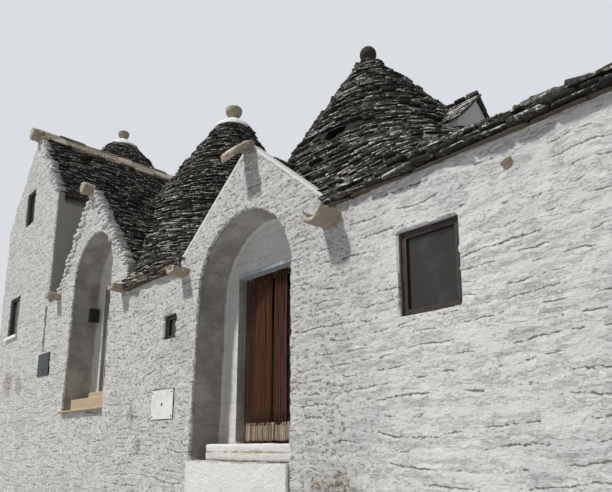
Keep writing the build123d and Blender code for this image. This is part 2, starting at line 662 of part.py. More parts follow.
# White caps and carved pinnacles
def cone_cap(centre, radius, z):
    """A whitewashed cap with a rounded shoulder, closed over the top of a cone."""
    x, y = centre
    with BuildPart() as cap:
        with BuildSketch(Plane.XZ.offset(-y)):
            with BuildLine():
                rim = x + radius + CAP_LIP
                Polyline((x, z), (rim, z), (rim, z + CAP_LIP_H))
                Spline((rim, z + CAP_LIP_H), (x + radius * 0.55, z + CAP_H * 0.62),
                       (x + CAP_TOP_R, z + CAP_H))
                Polyline((x + CAP_TOP_R, z + CAP_H), (x, z + CAP_H), (x, z))
            make_face()
        revolve(axis=Axis((x, y, 0), (0, 0, 1)))
    return cap.part


def bowl_pinnacle(centre, z, radius, height):
    """A thick round stone dish on a short neck."""
    x, y = centre
    with BuildPart() as pinnacle:
        with BuildSketch(Plane.XZ.offset(-y)):
            with BuildLine():
                neck = x + BOWL_NECK
                Polyline((x, z), (neck, z), (neck, z + height * 0.12))
                ThreePointArc((neck, z + height * 0.12), (x + radius * 0.86, z + height * 0.38),
                              (x + radius, z + height * 0.72))
                ThreePointArc((x + radius, z + height * 0.72), (x + radius * 0.97, z + height * 0.9),
                              (x + radius * 0.8, z + height))
                Polyline((x + radius * 0.8, z + height), (x, z + height), (x, z))
            make_face()
        revolve(axis=Axis((x, y, 0), (0, 0, 1)))
    return pinnacle.part


with BuildPart() as cone_caps:
    add(cone_cap(CONE_S, CONE_S_TOP_R, CONE_S_TOP))
    add(cone_cap(CONE_R, CONE_R_TOP_R, CONE_R_TOP))
with BuildPart() as bowl_pinnacles:
    add(bowl_pinnacle(CONE_S, CONE_S_TOP + CAP_H, *BOWL_S))
    add(bowl_pinnacle(CONE_R, CONE_R_TOP + CAP_H, *BOWL_R))
with BuildPart() as ball_pinnacle:
    with Locations((*CONE_L, CONE_L_TOP + BALL * BALL_SEAT)):
        Sphere(BALL)
    block(CONE_L[0] - BALL, CONE_L[0] + BALL, CONE_L[1] - BALL, CONE_L[1] + BALL,
          CONE_L_TOP, CONE_L_TOP + 2 * BALL, mode=Mode.INTERSECT)

with BuildPart() as roof_dormer:
    extrude(side_profile(
        [(DORMER_Y - DORMER_HALF, EAVE), (DORMER_Y + DORMER_HALF, EAVE),
         (DORMER_Y + DORMER_HALF, DORMER_EAVE), (DORMER_Y, DORMER_RIDGE),
         (DORMER_Y - DORMER_HALF, DORMER_EAVE)], DORMER_X0), amount=DORMER_X1 - DORMER_X0)
    add(cone_l_form, mode=Mode.SUBTRACT)

# Stone spouts: half a pipe at the valley, and square channels at the gables' feet
with BuildPart() as stone_spouts:
    with BuildSketch(Plane.XZ):
        with Locations((SPOUT_X, SPOUT_Z)):
            Circle(SPOUT_R)
            Circle(SPOUT_R - SPOUT_WALL, mode=Mode.SUBTRACT)
        with Locations((SPOUT_X, SPOUT_Z + SPOUT_R)):
            Rectangle(2 * SPOUT_R, 2 * SPOUT_R, mode=Mode.SUBTRACT)
    extrude(amount=SPOUT_REACH)
    for x, z in EAVE_SPOUTS:
        block(x - EAVE_SPOUT / 2, x + EAVE_SPOUT / 2, -EAVE_SPOUT_REACH, 0,
              z - EAVE_SPOUT_H / 2, z + EAVE_SPOUT_H / 2)
        block(x - EAVE_CHANNEL / 2, x + EAVE_CHANNEL / 2, -EAVE_SPOUT_REACH, 0,
              z, z + EAVE_SPOUT_H / 2, mode=Mode.SUBTRACT)

# Coping along the large portal's gable
with BuildPart() as large_gable_coping:
    extrude(front_profile([
        (PORTAL_L_X0, GABLE_L_FOOT_Z), (GABLE_L_X, GABLE_L_Z), (PORTAL_L_X1, GABLE_L_FOOT_Z),
        (PORTAL_L_X1, GABLE_L_FOOT_Z + COPING_T), (GABLE_L_X, GABLE_L_Z + COPING_T),
        (PORTAL_L_X0, GABLE_L_FOOT_Z + COPING_T)], 0), amount=-PARAPET)

# Large portal
with BuildPart() as large_door_lintel:
    block(DOOR_L_X0, DOOR_L_X1, NICHE_L_DEPTH - LINTEL_REACH, PORTAL_WALL - LINTEL_SET,
          DOOR_L_TOP - LINTEL_T, DOOR_L_TOP)
with BuildPart() as large_portal_steps:
    block(NICHE_L_X0, ARCH_L_X1, -STEP_L_REACH, 0, 0, FLOOR_L - STEP)
    block(STEP_L_X0, ARCH_L_X1, STEP_L_Y, NICHE_L_DEPTH, FLOOR_L - STEP, FLOOR_L)
with BuildPart() as large_door_curtain:
    y0 = NICHE_L_DEPTH + CURTAIN_SET
    block(DOOR_L_X0 + CURTAIN_L_GAP, DOOR_L_X1 - CURTAIN_L_GAP, y0, y0 + CURTAIN_T,
          FLOOR_L + CURTAIN_L_LIFT, DOOR_L_TOP - LINTEL_T)

# Small portal
with BuildPart() as small_portal_steps:
    block(NICHE_S_X0 + LANDING_SET, NICHE_S_X1, -LANDING_REACH, NICHE_S_DEPTH,
          LANDING_Z, LANDING_Z + LANDING_T)
    block(TREAD_S_X0, NICHE_S_X1, TREAD_S_Y, NICHE_S_DEPTH, LANDING_Z + LANDING_T, TREAD_S_Z)
    block(TOP_TREAD_S_X0, NICHE_S_X1, TOP_TREAD_S_Y, NICHE_S_DEPTH, TREAD_S_Z, FLOOR_S)
with BuildPart() as small_door_frame:
    y0 = NICHE_S_DEPTH + DOOR_S_SET
    window_frame((DOOR_S_X0, DOOR_S_X1, FLOOR_S, FLOOR_S + DOOR_H), y0, DOOR_S_DEPTH)
    block(DOOR_S_X0 + FRAME_T, DOOR_S_X1 - FRAME_T, y0, y0 + DOOR_S_DEPTH, FLOOR_S,
          FLOOR_S + FRAME_T, mode=Mode.SUBTRACT)
with BuildPart() as small_door_curtain:
    y0 = NICHE_S_DEPTH + DOOR_S_SET + (DOOR_S_DEPTH - CURTAIN_T) / 2
    block(DOOR_S_X0 + FRAME_T + CURTAIN_S_GAP, DOOR_S_X1 - FRAME_T - CURTAIN_S_GAP,
          y0, y0 + CURTAIN_T, FLOOR_S + CURTAIN_S_LIFT, FLOOR_S + DOOR_H - FRAME_T)


def jamb_x(z):
    """The leaning left jamb of the small portal's niche."""
    rise = (z - LANDING_Z) / (ARCH_S_SPRING - LANDING_Z)
    return NICHE_S_X0 + (ARCH_S_X0 - NICHE_S_X0) * rise


with BuildPart() as letterbox:
    z1 = LETTERBOX_Z + LETTERBOX_H
    x1 = jamb_x(z1) + LETTERBOX_W
    extrude(front_profile([(jamb_x(LETTERBOX_Z), LETTERBOX_Z), (x1, LETTERBOX_Z), (x1, z1),
                           (jamb_x(z1), z1)], LETTERBOX_Y), amount=-LETTERBOX_D)

# Wall cabinets and sill
with BuildPart() as meter_cabinet:
    x0, x1, z0, z1 = METER
    block(x0, x1, -METER_T, 0, z0, z1)
with BuildPart() as slate_cabinet:
    x0, x1, z0, z1 = SLATE_CABINET
    block(x0, x1, -SLATE_CABINET_T, 0, z0, z1)
with BuildPart() as lower_window_sill:
    x0, x1, z0, z1 = LOWER_WINDOW
    block(x0 - SILL, x1 + SILL, -SILL, 0, z0 - SILL, z0)

# Windows
with BuildPart() as front_window_frames:
    for window in FRONT_WINDOWS:
        window_frame(window, FRAME_SET)
with BuildPart() as rear_window_frames:
    for window in REAR_WINDOWS:
        window_frame(window, DEPTH - FRAME_SET - FRAME_T)
with BuildPart() as window_panes:
    for window in FRONT_WINDOWS:
        window_pane(window, FRAME_SET + (FRAME_T - PANE_T) / 2)
    for window in REAR_WINDOWS:
        window_pane(window, DEPTH - FRAME_SET - (FRAME_T + PANE_T) / 2)

pieces = {
    "gable_front_wall": gable_front_wall.part,
    "gable_right_wall": gable_right_wall.part,
    "gable_left_wall": gable_left_wall.part,
    "gable_back_wall": gable_back_wall.part,
    "rear_trullo_front_wall": rear_trullo_front_wall.part,
    "rear_trullo_side_wall": rear_trullo_side_wall.part,
    "small_portal_wall": small_portal_wall.part,
    "link_wall": link_wall.part,
    "large_portal_wall": large_portal_wall.part,
    "wing_front_wall": wing_front_wall.part,
    "wing_end_wall": wing_end_wall.part,
    "wing_cross_wall": wing_cross_wall.part,
    "valley_cross_wall": valley_cross_wall.part,
    "long_back_wall": long_back_wall.part,
    "eave_courses": eave_courses.part,
    "ground_floors": ground_floors.part,
    "gable_floors": gable_floors.part,
    "small_trullo_floor": small_trullo_floor.part,
    "small_cone_front": small_cone_front.part,
    "small_cone_rear": small_cone_rear.part,
    "large_cone_front": large_cone_front.part,
    "large_cone_rear": large_cone_rear.part,
    "wing_roof": wing_roof.part,
    "gable_roof": gable_roof.part,
    "rear_cone_roof": rear_cone_roof.part,
    "ridge_slabs": ridge_slabs.part,
    "apex_stones": apex_stones.part,
    "cone_caps": cone_caps.part,
    "large_apex_slab": large_apex_slab.part,
    "bowl_pinnacles": bowl_pinnacles.part,
    "ball_pinnacle": ball_pinnacle.part,
    "roof_dormer": roof_dormer.part,
    "stone_spouts": stone_spouts.part,
    "large_gable_coping": large_gable_coping.part,
    "large_door_lintel": large_door_lintel.part,
    "large_portal_steps": large_portal_steps.part,
    "large_door_curtain": large_door_curtain.part,
    "small_portal_steps": small_portal_steps.part,
    "small_door_frame": small_door_frame.part,
    "small_door_curtain": small_door_curtain.part,
    "letterbox": letterbox.part,
    "meter_cabinet": meter_cabinet.part,
    "slate_cabinet": slate_cabinet.part,
    "lower_window_sill": lower_window_sill.part,
    "front_window_frames": front_window_frames.part,
    "rear_window_frames": rear_window_frames.part,
    "window_panes": window_panes.part,
}
for label, piece in pieces.items():
    save(piece, label)
print(len(pieces), "pieces")
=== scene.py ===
# %% [markdown]
# # A connected trullo house
# The house is a row of whitewashed dry-stone walls under steep stone roofs: two tall cones, a third
# behind, a gabled upper house, a low wing, and two portals with deep round-arched niches.
# The CAD frame gives every wall, opening and roof form at its real size. This lesson dresses it:
# the limewash gets its lumps and courses, the roofs get their thousands of thin slabs, and the
# doorways get their strand curtains.

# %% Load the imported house
import math
import random

import bmesh
import bpy
import numpy as np
from mathutils import Matrix, Vector


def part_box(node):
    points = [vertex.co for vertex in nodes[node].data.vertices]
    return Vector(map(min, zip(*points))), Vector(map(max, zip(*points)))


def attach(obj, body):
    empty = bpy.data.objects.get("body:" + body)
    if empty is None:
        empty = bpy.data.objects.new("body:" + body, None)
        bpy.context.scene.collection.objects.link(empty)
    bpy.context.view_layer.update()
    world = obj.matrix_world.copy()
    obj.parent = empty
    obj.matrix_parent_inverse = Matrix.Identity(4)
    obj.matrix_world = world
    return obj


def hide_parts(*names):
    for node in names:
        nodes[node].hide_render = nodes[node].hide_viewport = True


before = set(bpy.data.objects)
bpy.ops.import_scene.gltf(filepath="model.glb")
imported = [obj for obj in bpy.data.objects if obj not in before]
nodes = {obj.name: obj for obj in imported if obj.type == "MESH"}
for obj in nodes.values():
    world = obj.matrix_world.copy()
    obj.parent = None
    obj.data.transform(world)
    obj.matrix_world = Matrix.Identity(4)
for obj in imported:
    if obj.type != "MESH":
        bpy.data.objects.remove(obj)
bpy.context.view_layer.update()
scene = bpy.context.scene
scene.view_settings.view_transform = "Standard"

# %% [markdown]
# ## The camera
# The picture was taken from low in the street, near the wing, looking along the fronts to the left.
# An upright camera with a large shift would show that view exactly, but a shift spoils the other
# views of the house. So part of the shift becomes a tilt, which leaves the walls nearly upright.

# %% Place the camera
PHOTO_W, PHOTO_H = 612, 492
SENSOR = 36.0
FOCAL_PX = 588
CAMERA_AT = (7.9, -3.985, 1.1)
CAMERA_TURN = math.radians(47.27)
CAMERA_TILT = math.radians(12.0)
CAMERA_SHIFT = 0.125

camera_data = bpy.data.cameras.new("street_camera")
camera_data.sensor_width = SENSOR
camera_data.lens = FOCAL_PX * SENSOR / PHOTO_W
camera_data.shift_y = CAMERA_SHIFT
camera = bpy.data.objects.new("street_camera", camera_data)
camera.location = CAMERA_AT
camera.rotation_euler = (math.pi / 2 + CAMERA_TILT, 0, CAMERA_TURN)
scene.collection.objects.link(camera)
scene.camera = camera
print("lens", round(camera_data.lens, 1), "mm")

# %% [markdown]
# ## Light, floor and backdrop
# High light comes from the front and a little from the left, as the short shadows under the eaves
# show. A wide soft sun lamp keeps those shadows readable without hard edges, and the world fills
# the rest.
# The world looks paler to the camera than it lights the walls, through Light Path.

# %% Set the lights and the floor
SUN_FROM = Vector((-0.24, -0.56, 0.80))
SUN_STRENGTH = 3.6
SUN_SOFTNESS = math.radians(5)
SUN_COLOUR = (1.0, 0.97, 0.92)
SKY_FILL = (0.50, 0.53, 0.57, 1)
SKY_STRENGTH = 0.38
BACKDROP = (0.70, 0.73, 0.77, 1)
FLOOR_RADIUS = 70.0

sun_data = bpy.data.lights.new("soft_sun", "SUN")
sun_data.energy = SUN_STRENGTH
sun_data.angle = SUN_SOFTNESS
sun_data.color = SUN_COLOUR
sun = bpy.data.objects.new("soft_sun", sun_data)
sun.rotation_euler = SUN_FROM.to_track_quat("Z", "Y").to_euler()
scene.collection.objects.link(sun)


def add_node(tree, kind, inputs=None, **settings):
    """A shader node with its settings, its values and its links, in one line."""
    made = tree.nodes.new(kind)
    for key, value in settings.items():
        setattr(made, key, value)
    for key, value in (inputs or {}).items():
        if isinstance(value, bpy.types.NodeSocket):
            tree.links.new(value, made.inputs[key])
        else:
            made.inputs[key].default_value = value
    return made


world = bpy.data.worlds.new("studio")
scene.world = world
world.use_nodes = True
tree = world.node_tree
tree.nodes.clear()
path = add_node(tree, "ShaderNodeLightPath")
seen = add_node(tree, "ShaderNodeMath", {0: path.outputs["Is Camera Ray"], 1: path.outputs["Is Glossy Ray"]},
                operation="MAXIMUM")
fill = add_node(tree, "ShaderNodeBackground", {"Color": SKY_FILL, "Strength": SKY_STRENGTH})
backdrop = add_node(tree, "ShaderNodeBackground", {"Color": BACKDROP, "Strength": 1.0})
mixed = add_node(tree, "ShaderNodeMixShader", {0: seen.outputs[0], 1: fill.outputs[0], 2: backdrop.outputs[0]})
add_node(tree, "ShaderNodeOutputWorld", {"Surface": mixed.outputs[0]})

floor_form = bmesh.new()
bmesh.ops.create_circle(floor_form, cap_ends=True, radius=FLOOR_RADIUS, segments=96)
floor_mesh = bpy.data.meshes.new("floor")
floor_form.to_mesh(floor_mesh)
floor_form.free()
floor = bpy.data.objects.new("floor", floor_mesh)
scene.collection.objects.link(floor)
print("sun from", [round(c, 2) for c in SUN_FROM])

# %% [markdown]
# ## Reading the house's own measures
# New pieces sit on the frame, so the heights and depths that they need are read from the CAD boxes
# and not written twice.

# %% Read measures from the frame
EAVE_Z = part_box("link_wall")[1].z
HEAD_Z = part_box("eave_courses")[1].z
PARAPET_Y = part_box("large_gable_coping")[1].y
WALL_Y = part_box("wing_front_wall")[1].y
HOUSE_BACK_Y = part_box("long_back_wall")[1].y
LINK_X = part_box("link_wall")[0].x
GABLE_LEFT_X, GABLE_RIGHT_X = (corner.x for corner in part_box("gable_front_wall"))
END_RIGHT_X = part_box("wing_end_wall")[1].x
print("eave", round(EAVE_Z, 2), "parapet", round(PARAPET_Y, 2), "wall", round(WALL_Y, 2))

# %% [markdown]
# ## Repeatable unevenness
# Old masonry is uneven at every scale: whole walls lean, stones differ, and the surface is pitted.
# One small hash of whole numbers gives the same random value to the same place on each run.
# Value noise blends those values between cells, and layers of it at finer scales add up to stone.

# %% Noise over many points at once
HASH = (73856093, 19349663, 83492791, 49979687)
SCRAMBLE = 1274126177
LOW_BITS = 0xFFFFFF


def cell_value(ix, iy, iz, seed):
    """A repeatable value from 0 to 1 for each whole-number cell."""
    mixed = (ix * HASH[0]) ^ (iy * HASH[1]) ^ (iz * HASH[2]) ^ (seed * HASH[3])
    mixed = (mixed ^ (mixed >> 13)) * SCRAMBLE
    mixed = mixed ^ (mixed >> 16)
    return (mixed & LOW_BITS) / LOW_BITS


def value_noise(points, scale, seed):
    """Smooth noise from -1 to 1 at each point, with features of about 1 / scale metres."""
    q = points * scale
    whole = np.floor(q).astype(np.int64)
    part = q - whole
    part = part * part * (3 - 2 * part)
    total = np.zeros(len(points))
    for dx in (0, 1):
        for dy in (0, 1):
            for dz in (0, 1):
                weight = np.abs(1 - dx - part[:, 0]) * np.abs(1 - dy - part[:, 1]) * np.abs(1 - dz - part[:, 2])
                total += weight * cell_value(whole[:, 0] + dx, whole[:, 1] + dy, whole[:, 2] + dz, seed)
    return total * 2 - 1


def layered_noise(points, scale, seed, layers=4):
    """Several sizes of noise on top of each other, each half as strong as the last."""
    total, strength = np.zeros(len(points)), 1.0
    for layer in range(layers):
        total += strength * value_noise(points, scale * 2 ** layer, seed + layer)
        strength /= 2
    return total / 2


def smooth_step(low, high, x):
    """0 below low, 1 above high, and a soft rise between them."""
    t = np.clip((x - low) / (high - low), 0, 1)
    return t * t * (3 - 2 * t)


sample = layered_noise(np.array([[0.1 * i, 0.2, 0.3] for i in range(200)]), 1, 1)
print("noise runs from", round(sample.min(), 2), "to", round(sample.max(), 2))

# %% [markdown]
# ## Stone courses under limewash
# The walls are laid in low courses of flattish stones, and a hundred coats of limewash have rounded
# them. Each point of the wall finds its course and its stone. It stands out over the stone's face and
# falls back at the joints. In places the wash has filled a joint, and lumps blur the whole.

# %% The relief of a limewashed dry-stone wall
COURSE_H = 0.13
STONE_L = 0.36
JOINT = 0.03
STONE_OUT = 0.009
LUMP_OUT = 0.012
GRAIN_OUT = 0.007
WAVE_OUT = 0.006
PIT_OUT = 0.0016


def stone_relief(points):
    """Height in metres, hollow from 0 to 1 and course number of rough stone at each point."""
    along = points[:, 0] + points[:, 1]
    wander = 0.9 * value_noise(points * (0.7, 0.7, 1.0), 1.1, 11) + 0.22 * value_noise(points, 3.4, 12)
    up = points[:, 2] / COURSE_H + wander
    row = np.floor(up).astype(np.int64)
    zero = np.zeros_like(row)
    length = STONE_L * (0.5 + 1.1 * cell_value(row, zero, zero, 21))
    side = along / length + 7.0 * cell_value(row, zero, zero, 22) + 0.25 * value_noise(points, 7.0, 13)
    column = np.floor(side).astype(np.int64)
    to_joint_z = np.minimum(up - row, row + 1 - up) * COURSE_H
    to_joint_x = np.minimum(side - column, column + 1 - side) * length
    filled = smooth_step(-0.45, 0.25, value_noise(points, 2.3, 14))
    bed = smooth_step(0.0, JOINT, to_joint_z)
    head = smooth_step(0.0, JOINT, to_joint_x)
    face = np.minimum(bed, 0.55 + 0.45 * head)
    face = face + (1 - face) * filled * 0.8
    own = cell_value(row, column, zero, 23)
    fine = layered_noise(points, 14.0, 31, 3)
    lumps = layered_noise(points, 6.0, 41, 3)
    height = STONE_OUT * face * (0.3 + own) + LUMP_OUT * lumps + GRAIN_OUT * fine
    hollow = np.clip((1 - face) * 0.8 - 0.5 * fine - 0.3 * lumps, 0, 1)
    return height, hollow, up + 100


def plaster_relief(points):
    """A trowelled coat: broad waves and slight pits."""
    height = WAVE_OUT * layered_noise(points, 1.6, 51, 3) + PIT_OUT * layered_noise(points, 18.0, 61, 2)
    return height, np.clip(-0.6 * layered_noise(points, 6.0, 71, 2), 0, 1), np.zeros(len(points))


print("course", COURSE_H, "m, stone", STONE_L, "m")

# %% [markdown]
# ## A weathered skin over CAD walls
# A Remesh modifier turns the walls' flat faces into an even net and rounds every arris, as limewash
# does. The hidden faces towards the rooms are dissolved back to large flat ones, so the piece stays
# closed without spending triangles where nobody looks. The net is then pushed in and out along its
# own normals.

# %% Helpers that make and dress a mesh
FLAT_ANGLE = 0.02
MERGE_DISTANCE = 1e-5


def form_of(mesh):
    """A bmesh with the same faces as a mesh."""
    form = bmesh.new()
    form.from_mesh(mesh)
    return form


def positions(mesh):
    """The vertices of a mesh as rows of x, y, z."""
    co = np.zeros(len(mesh.vertices) * 3)
    mesh.vertices.foreach_get("co", co)
    return co.reshape(-1, 3)


def store(mesh, name, values):
    """Keeps one value for each vertex, for a material to read."""
    layer = mesh.attributes.new(name, "FLOAT", "POINT")
    layer.data.foreach_set("value", values.astype(np.float32))


def set_material(mesh, material):
    mesh.materials.clear()
    mesh.materials.append(material)


def merged_copy(*names):
    """One bmesh of CAD nodes with the loose triangles' corners joined."""
    form = bmesh.new()
    for name in names:
        form.from_mesh(nodes[name].data)
    bmesh.ops.remove_doubles(form, verts=form.verts, dist=MERGE_DISTANCE)
    return form


def new_piece(name, form, material, replaced=()):
    """A finished piece from a bmesh: it rides on the house and takes a material."""
    mesh = bpy.data.meshes.new(name)
    form.to_mesh(mesh)
    form.free()
    return finish_piece(name, mesh, material, replaced)


def finish_piece(name, mesh, material, replaced=()):
    """A finished piece from a mesh."""
    made = bpy.data.objects.new(name, mesh)
    scene.collection.objects.link(made)
    set_material(mesh, material)
    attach(made, "root")
    if replaced:
        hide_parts(*replaced)
    triangles = sum(len(p.vertices) - 2 for p in mesh.polygons)
    print(name, triangles, "triangles")
    return made


def remeshed(form, voxel):
    """The same form as one closed even net, with its arrises rounded."""
    mesh = bpy.data.meshes.new("coarse")
    form.to_mesh(mesh)
    form.free()
    made = bpy.data.objects.new("coarse", mesh)
    scene.collection.objects.link(made)
    net = made.modifiers.new("net", "REMESH")
    net.mode = "VOXEL"
    net.voxel_size = voxel
    evaluated = made.evaluated_get(bpy.context.evaluated_depsgraph_get())
    result = bpy.data.meshes.new_from_object(evaluated)
    bpy.data.objects.remove(made)
    bpy.data.meshes.remove(mesh)
    return result


def displaced(mesh, relief, strength=None):
    """Pushes each vertex along its normal and keeps hollow and course for the material."""
    co = positions(mesh)
    normal = np.zeros(co.size)
    mesh.vertex_normals.foreach_get("vector", normal)
    normal = normal.reshape(-1, 3)
    height, hollow, course = relief(co)
    if strength is not None:
        height = height * strength(co, normal)
    co = co + normal * height[:, None]
    co[:, 2] = np.maximum(co[:, 2], 0)
    mesh.vertices.foreach_set("co", co.ravel())
    store(mesh, "hollow", hollow)
    store(mesh, "course", course)
    mesh.update()
    return mesh


def thinned(mesh, hidden):
    """Dissolves the flat faces that hidden picks, which leaves the mesh closed."""
    form = form_of(mesh)
    chosen = {f for f in form.faces if hidden(f.calc_center_median(), f.normal)}
    edges = [e for e in form.edges if all(f in chosen for f in e.link_faces)]
    verts = [v for v in form.verts if all(f in chosen for f in v.link_faces)]
    bmesh.ops.dissolve_limit(form, angle_limit=FLAT_ANGLE, verts=verts, edges=edges)
    form.to_mesh(mesh)
    form.free()
    return mesh


print("helpers ready")

# %% [markdown]
# ## Finishes
# Every finish is made of procedural nodes on object coordinates, in metres, so a course of stone or
# a stain has its real size. Effects that several finishes share are node groups with named inputs:
# mottling mixes two colours in clouds, pitting turns fine noise into a normal, and masonry draws
# the cracks between courses, the pits and the rubble of a wall. The cracks' dark lines are partly
# painted shade.

# %% Node groups for mottling, pitting and masonry


def new_group(name, inputs, outputs):
    """An empty shader group with its sockets, its input node and its output node."""
    group = bpy.data.node_groups.new(name, "ShaderNodeTree")
    for socket, kind, value in inputs:
        made = group.interface.new_socket(socket, in_out="INPUT", socket_type="NodeSocket" + kind)
        made.default_value = value
    for socket, kind in outputs:
        group.interface.new_socket(socket, in_out="OUTPUT", socket_type="NodeSocket" + kind)
    return group, group.nodes.new("NodeGroupInput"), group.nodes.new("NodeGroupOutput")


def mix_colour(tree, factor, a, b):
    """Colour a where the factor is 0 and b where it is 1."""
    return add_node(tree, "ShaderNodeMix", {0: factor, 6: a, 7: b}, data_type="RGBA").outputs[2]


def span(tree, value, low, high, to_low=0.0, to_high=1.0):
    """The value stretched from one range to another, with soft ends."""
    made = add_node(tree, "ShaderNodeMapRange", {0: value, 1: low, 2: high, 3: to_low, 4: to_high},
                    interpolation_type="SMOOTHSTEP")
    return made.outputs[0]


def math_node(tree, operation, a, b=0.0):
    return add_node(tree, "ShaderNodeMath", {0: a, 1: b}, operation=operation).outputs[0]


def chained(operation):
    """A function that joins any number of values by one kind of sum."""
    def join(tree, first, *rest):
        for value in rest:
            first = math_node(tree, operation, first, value)
        return first
    return join


plus, minus, times = chained("ADD"), chained("SUBTRACT"), chained("MULTIPLY")


def here(tree):
    """The shaded point in object coordinates."""
    return add_node(tree, "ShaderNodeTexCoord").outputs["Object"]


def parts_of(tree, vector):
    """The x, y and z of a vector."""
    return add_node(tree, "ShaderNodeSeparateXYZ", {0: vector}).outputs


def facing(tree):
    """The way that the face looks, before any bump."""
    return parts_of(tree, add_node(tree, "ShaderNodeNewGeometry").outputs["True Normal"])


def stored(tree, name):
    """A value that was kept on the mesh's vertices."""
    return add_node(tree, "ShaderNodeAttribute", attribute_name=name).outputs["Fac"]


def stretched(tree, where, scale):
    return add_node(tree, "ShaderNodeMapping", {"Vector": where, "Scale": scale}).outputs[0]


def bumped(tree, height, strength, depth):
    """The normal of a surface that rises with the height value."""
    made = add_node(tree, "ShaderNodeBump", {"Strength": strength, "Distance": depth, "Height": height})
    return made.outputs["Normal"]


def cloud(tree, where, scale, detail=4.0, rough=0.55, distortion=0.0):
    """Noise from 0 to 1."""
    made = add_node(tree, "ShaderNodeTexNoise", {"Vector": where, "Scale": scale, "Detail": detail,
                                                 "Roughness": rough, "Distortion": distortion})
    return made.outputs["Fac"]


mottle, enter, leave = new_group(
    "mottle",
    [("First", "Color", (0.8, 0.8, 0.8, 1)), ("Second", "Color", (0.5, 0.5, 0.5, 1)),
     ("Scale", "Float", 2.0), ("Cover", "Float", 0.5)],
    [("Color", "Color"), ("Mask", "Float")])
clouds = cloud(mottle, here(mottle), enter.outputs["Scale"], 5.0, 0.6, 0.3)
edge = minus(mottle, 0.78, times(mottle, enter.outputs["Cover"], 0.56))
mask = span(mottle, minus(mottle, clouds, edge), -0.06, 0.10)
mottle.links.new(mask, leave.inputs["Mask"])
mottle.links.new(mix_colour(mottle, mask, enter.outputs["First"], enter.outputs["Second"]), leave.inputs["Color"])

pitting, enter, leave = new_group(
    "pitting", [("Scale", "Float", 40.0), ("Depth", "Float", 0.004), ("Strength", "Float", 0.6)],
    [("Normal", "Vector")])
pits = cloud(pitting, here(pitting), enter.outputs["Scale"], 6.0, 0.65)
pitting.links.new(bumped(pitting, pits, enter.outputs["Strength"], enter.outputs["Depth"]), leave.inputs["Normal"])

masonry, enter, leave = new_group(
    "masonry",
    [("Course", "Float", 0.0), ("Depth", "Float", 0.02), ("Coarse", "Float", 1.0), ("Rubble", "Float", 0.0)],
    [("Normal", "Vector"), ("Joint", "Float"), ("Pits", "Float")])
course, depth, coarse, rubbly = (enter.outputs[key] for key in ("Course", "Depth", "Coarse", "Rubble"))
where = here(masonry)
wobble = times(masonry, cloud(masonry, where, 6.0, 7.0, 0.68), 0.75)
up = math_node(masonry, "FRACT", plus(masonry, course, wobble))
to_bed = math_node(masonry, "MINIMUM", up, minus(masonry, 1.0, up))
long_way = stretched(masonry, where, (1.5, 1.5, 5.5))
broken = span(masonry, cloud(masonry, long_way, 1.5, 8.0, 0.76), 0.505, 0.535)
laid = math_node(masonry, "GREATER_THAN", course, 1.0)
shown = times(masonry, broken, laid, coarse)
bulge = times(masonry, span(masonry, to_bed, 0.0, 0.30), plus(masonry, shown, 0.25))
grain = cloud(masonry, where, 38.0, 7.0, 0.74)
jagged = plus(masonry, to_bed, times(masonry, minus(masonry, grain, 0.5), 0.32))
# The crack darkens the bed joints in the finish, partly as painted shade.
crack = times(masonry, span(masonry, jagged, 0.060, 0.020), shown)
pebble = add_node(masonry, "ShaderNodeTexVoronoi", {"Vector": where, "Scale": 34.0, "Randomness": 1.0},
                  feature="SMOOTH_F1").outputs["Distance"]
rubble = cloud(masonry, stretched(masonry, where, (1, 1, 2.0)), 14.0, 6.0, 0.76)
rough = minus(masonry, grain, times(masonry, pebble, 0.26))
rough = times(masonry, plus(masonry, rough, times(masonry, rubble, rubbly, 2.2)), coarse)
height = plus(masonry, minus(masonry, rough, times(masonry, crack, 0.8)), times(masonry, bulge, 0.35))
pit_reach = span(masonry, rubbly, 0.0, 1.0, 0.33, 0.455)
pit = span(masonry, minus(masonry, pit_reach, rubble), 0.0, 0.04)
pit = math_node(masonry, "MAXIMUM", pit, span(masonry, grain, 0.44, 0.34, 0.0, 0.30))
for value, key in ((bumped(masonry, height, 1.0, depth), "Normal"), (crack, "Joint"),
                   (times(masonry, pit, coarse), "Pits")):
    masonry.links.new(value, leave.inputs[key])


def new_material(name, roughness=0.85, **constants):
    """(material, tree, Principled node) with plain constants on the shader's own sockets."""
    made = bpy.data.materials.new(name)
    made.use_nodes = True
    tree = made.node_tree
    tree.nodes.clear()
    shader = add_node(tree, "ShaderNodeBsdfPrincipled", {"Roughness": roughness})
    for key, value in constants.items():
        shader.inputs[key.replace("_", " ")].default_value = value
    add_node(tree, "ShaderNodeOutputMaterial", {"Surface": shader.outputs[0]})
    return made, tree, shader


def set_finish(tree, shader, colour, roughness, normal):
    """Links a finish's colour, roughness and normal to its shader."""
    for value, key in ((colour, "Base Color"), (roughness, "Roughness"), (normal, "Normal")):
        tree.links.new(value, shader.inputs[key])


def use_group(tree, group, **inputs):
    return add_node(tree, "ShaderNodeGroup", inputs, node_tree=group).outputs


print("groups", [g.name for g in bpy.data.node_groups])
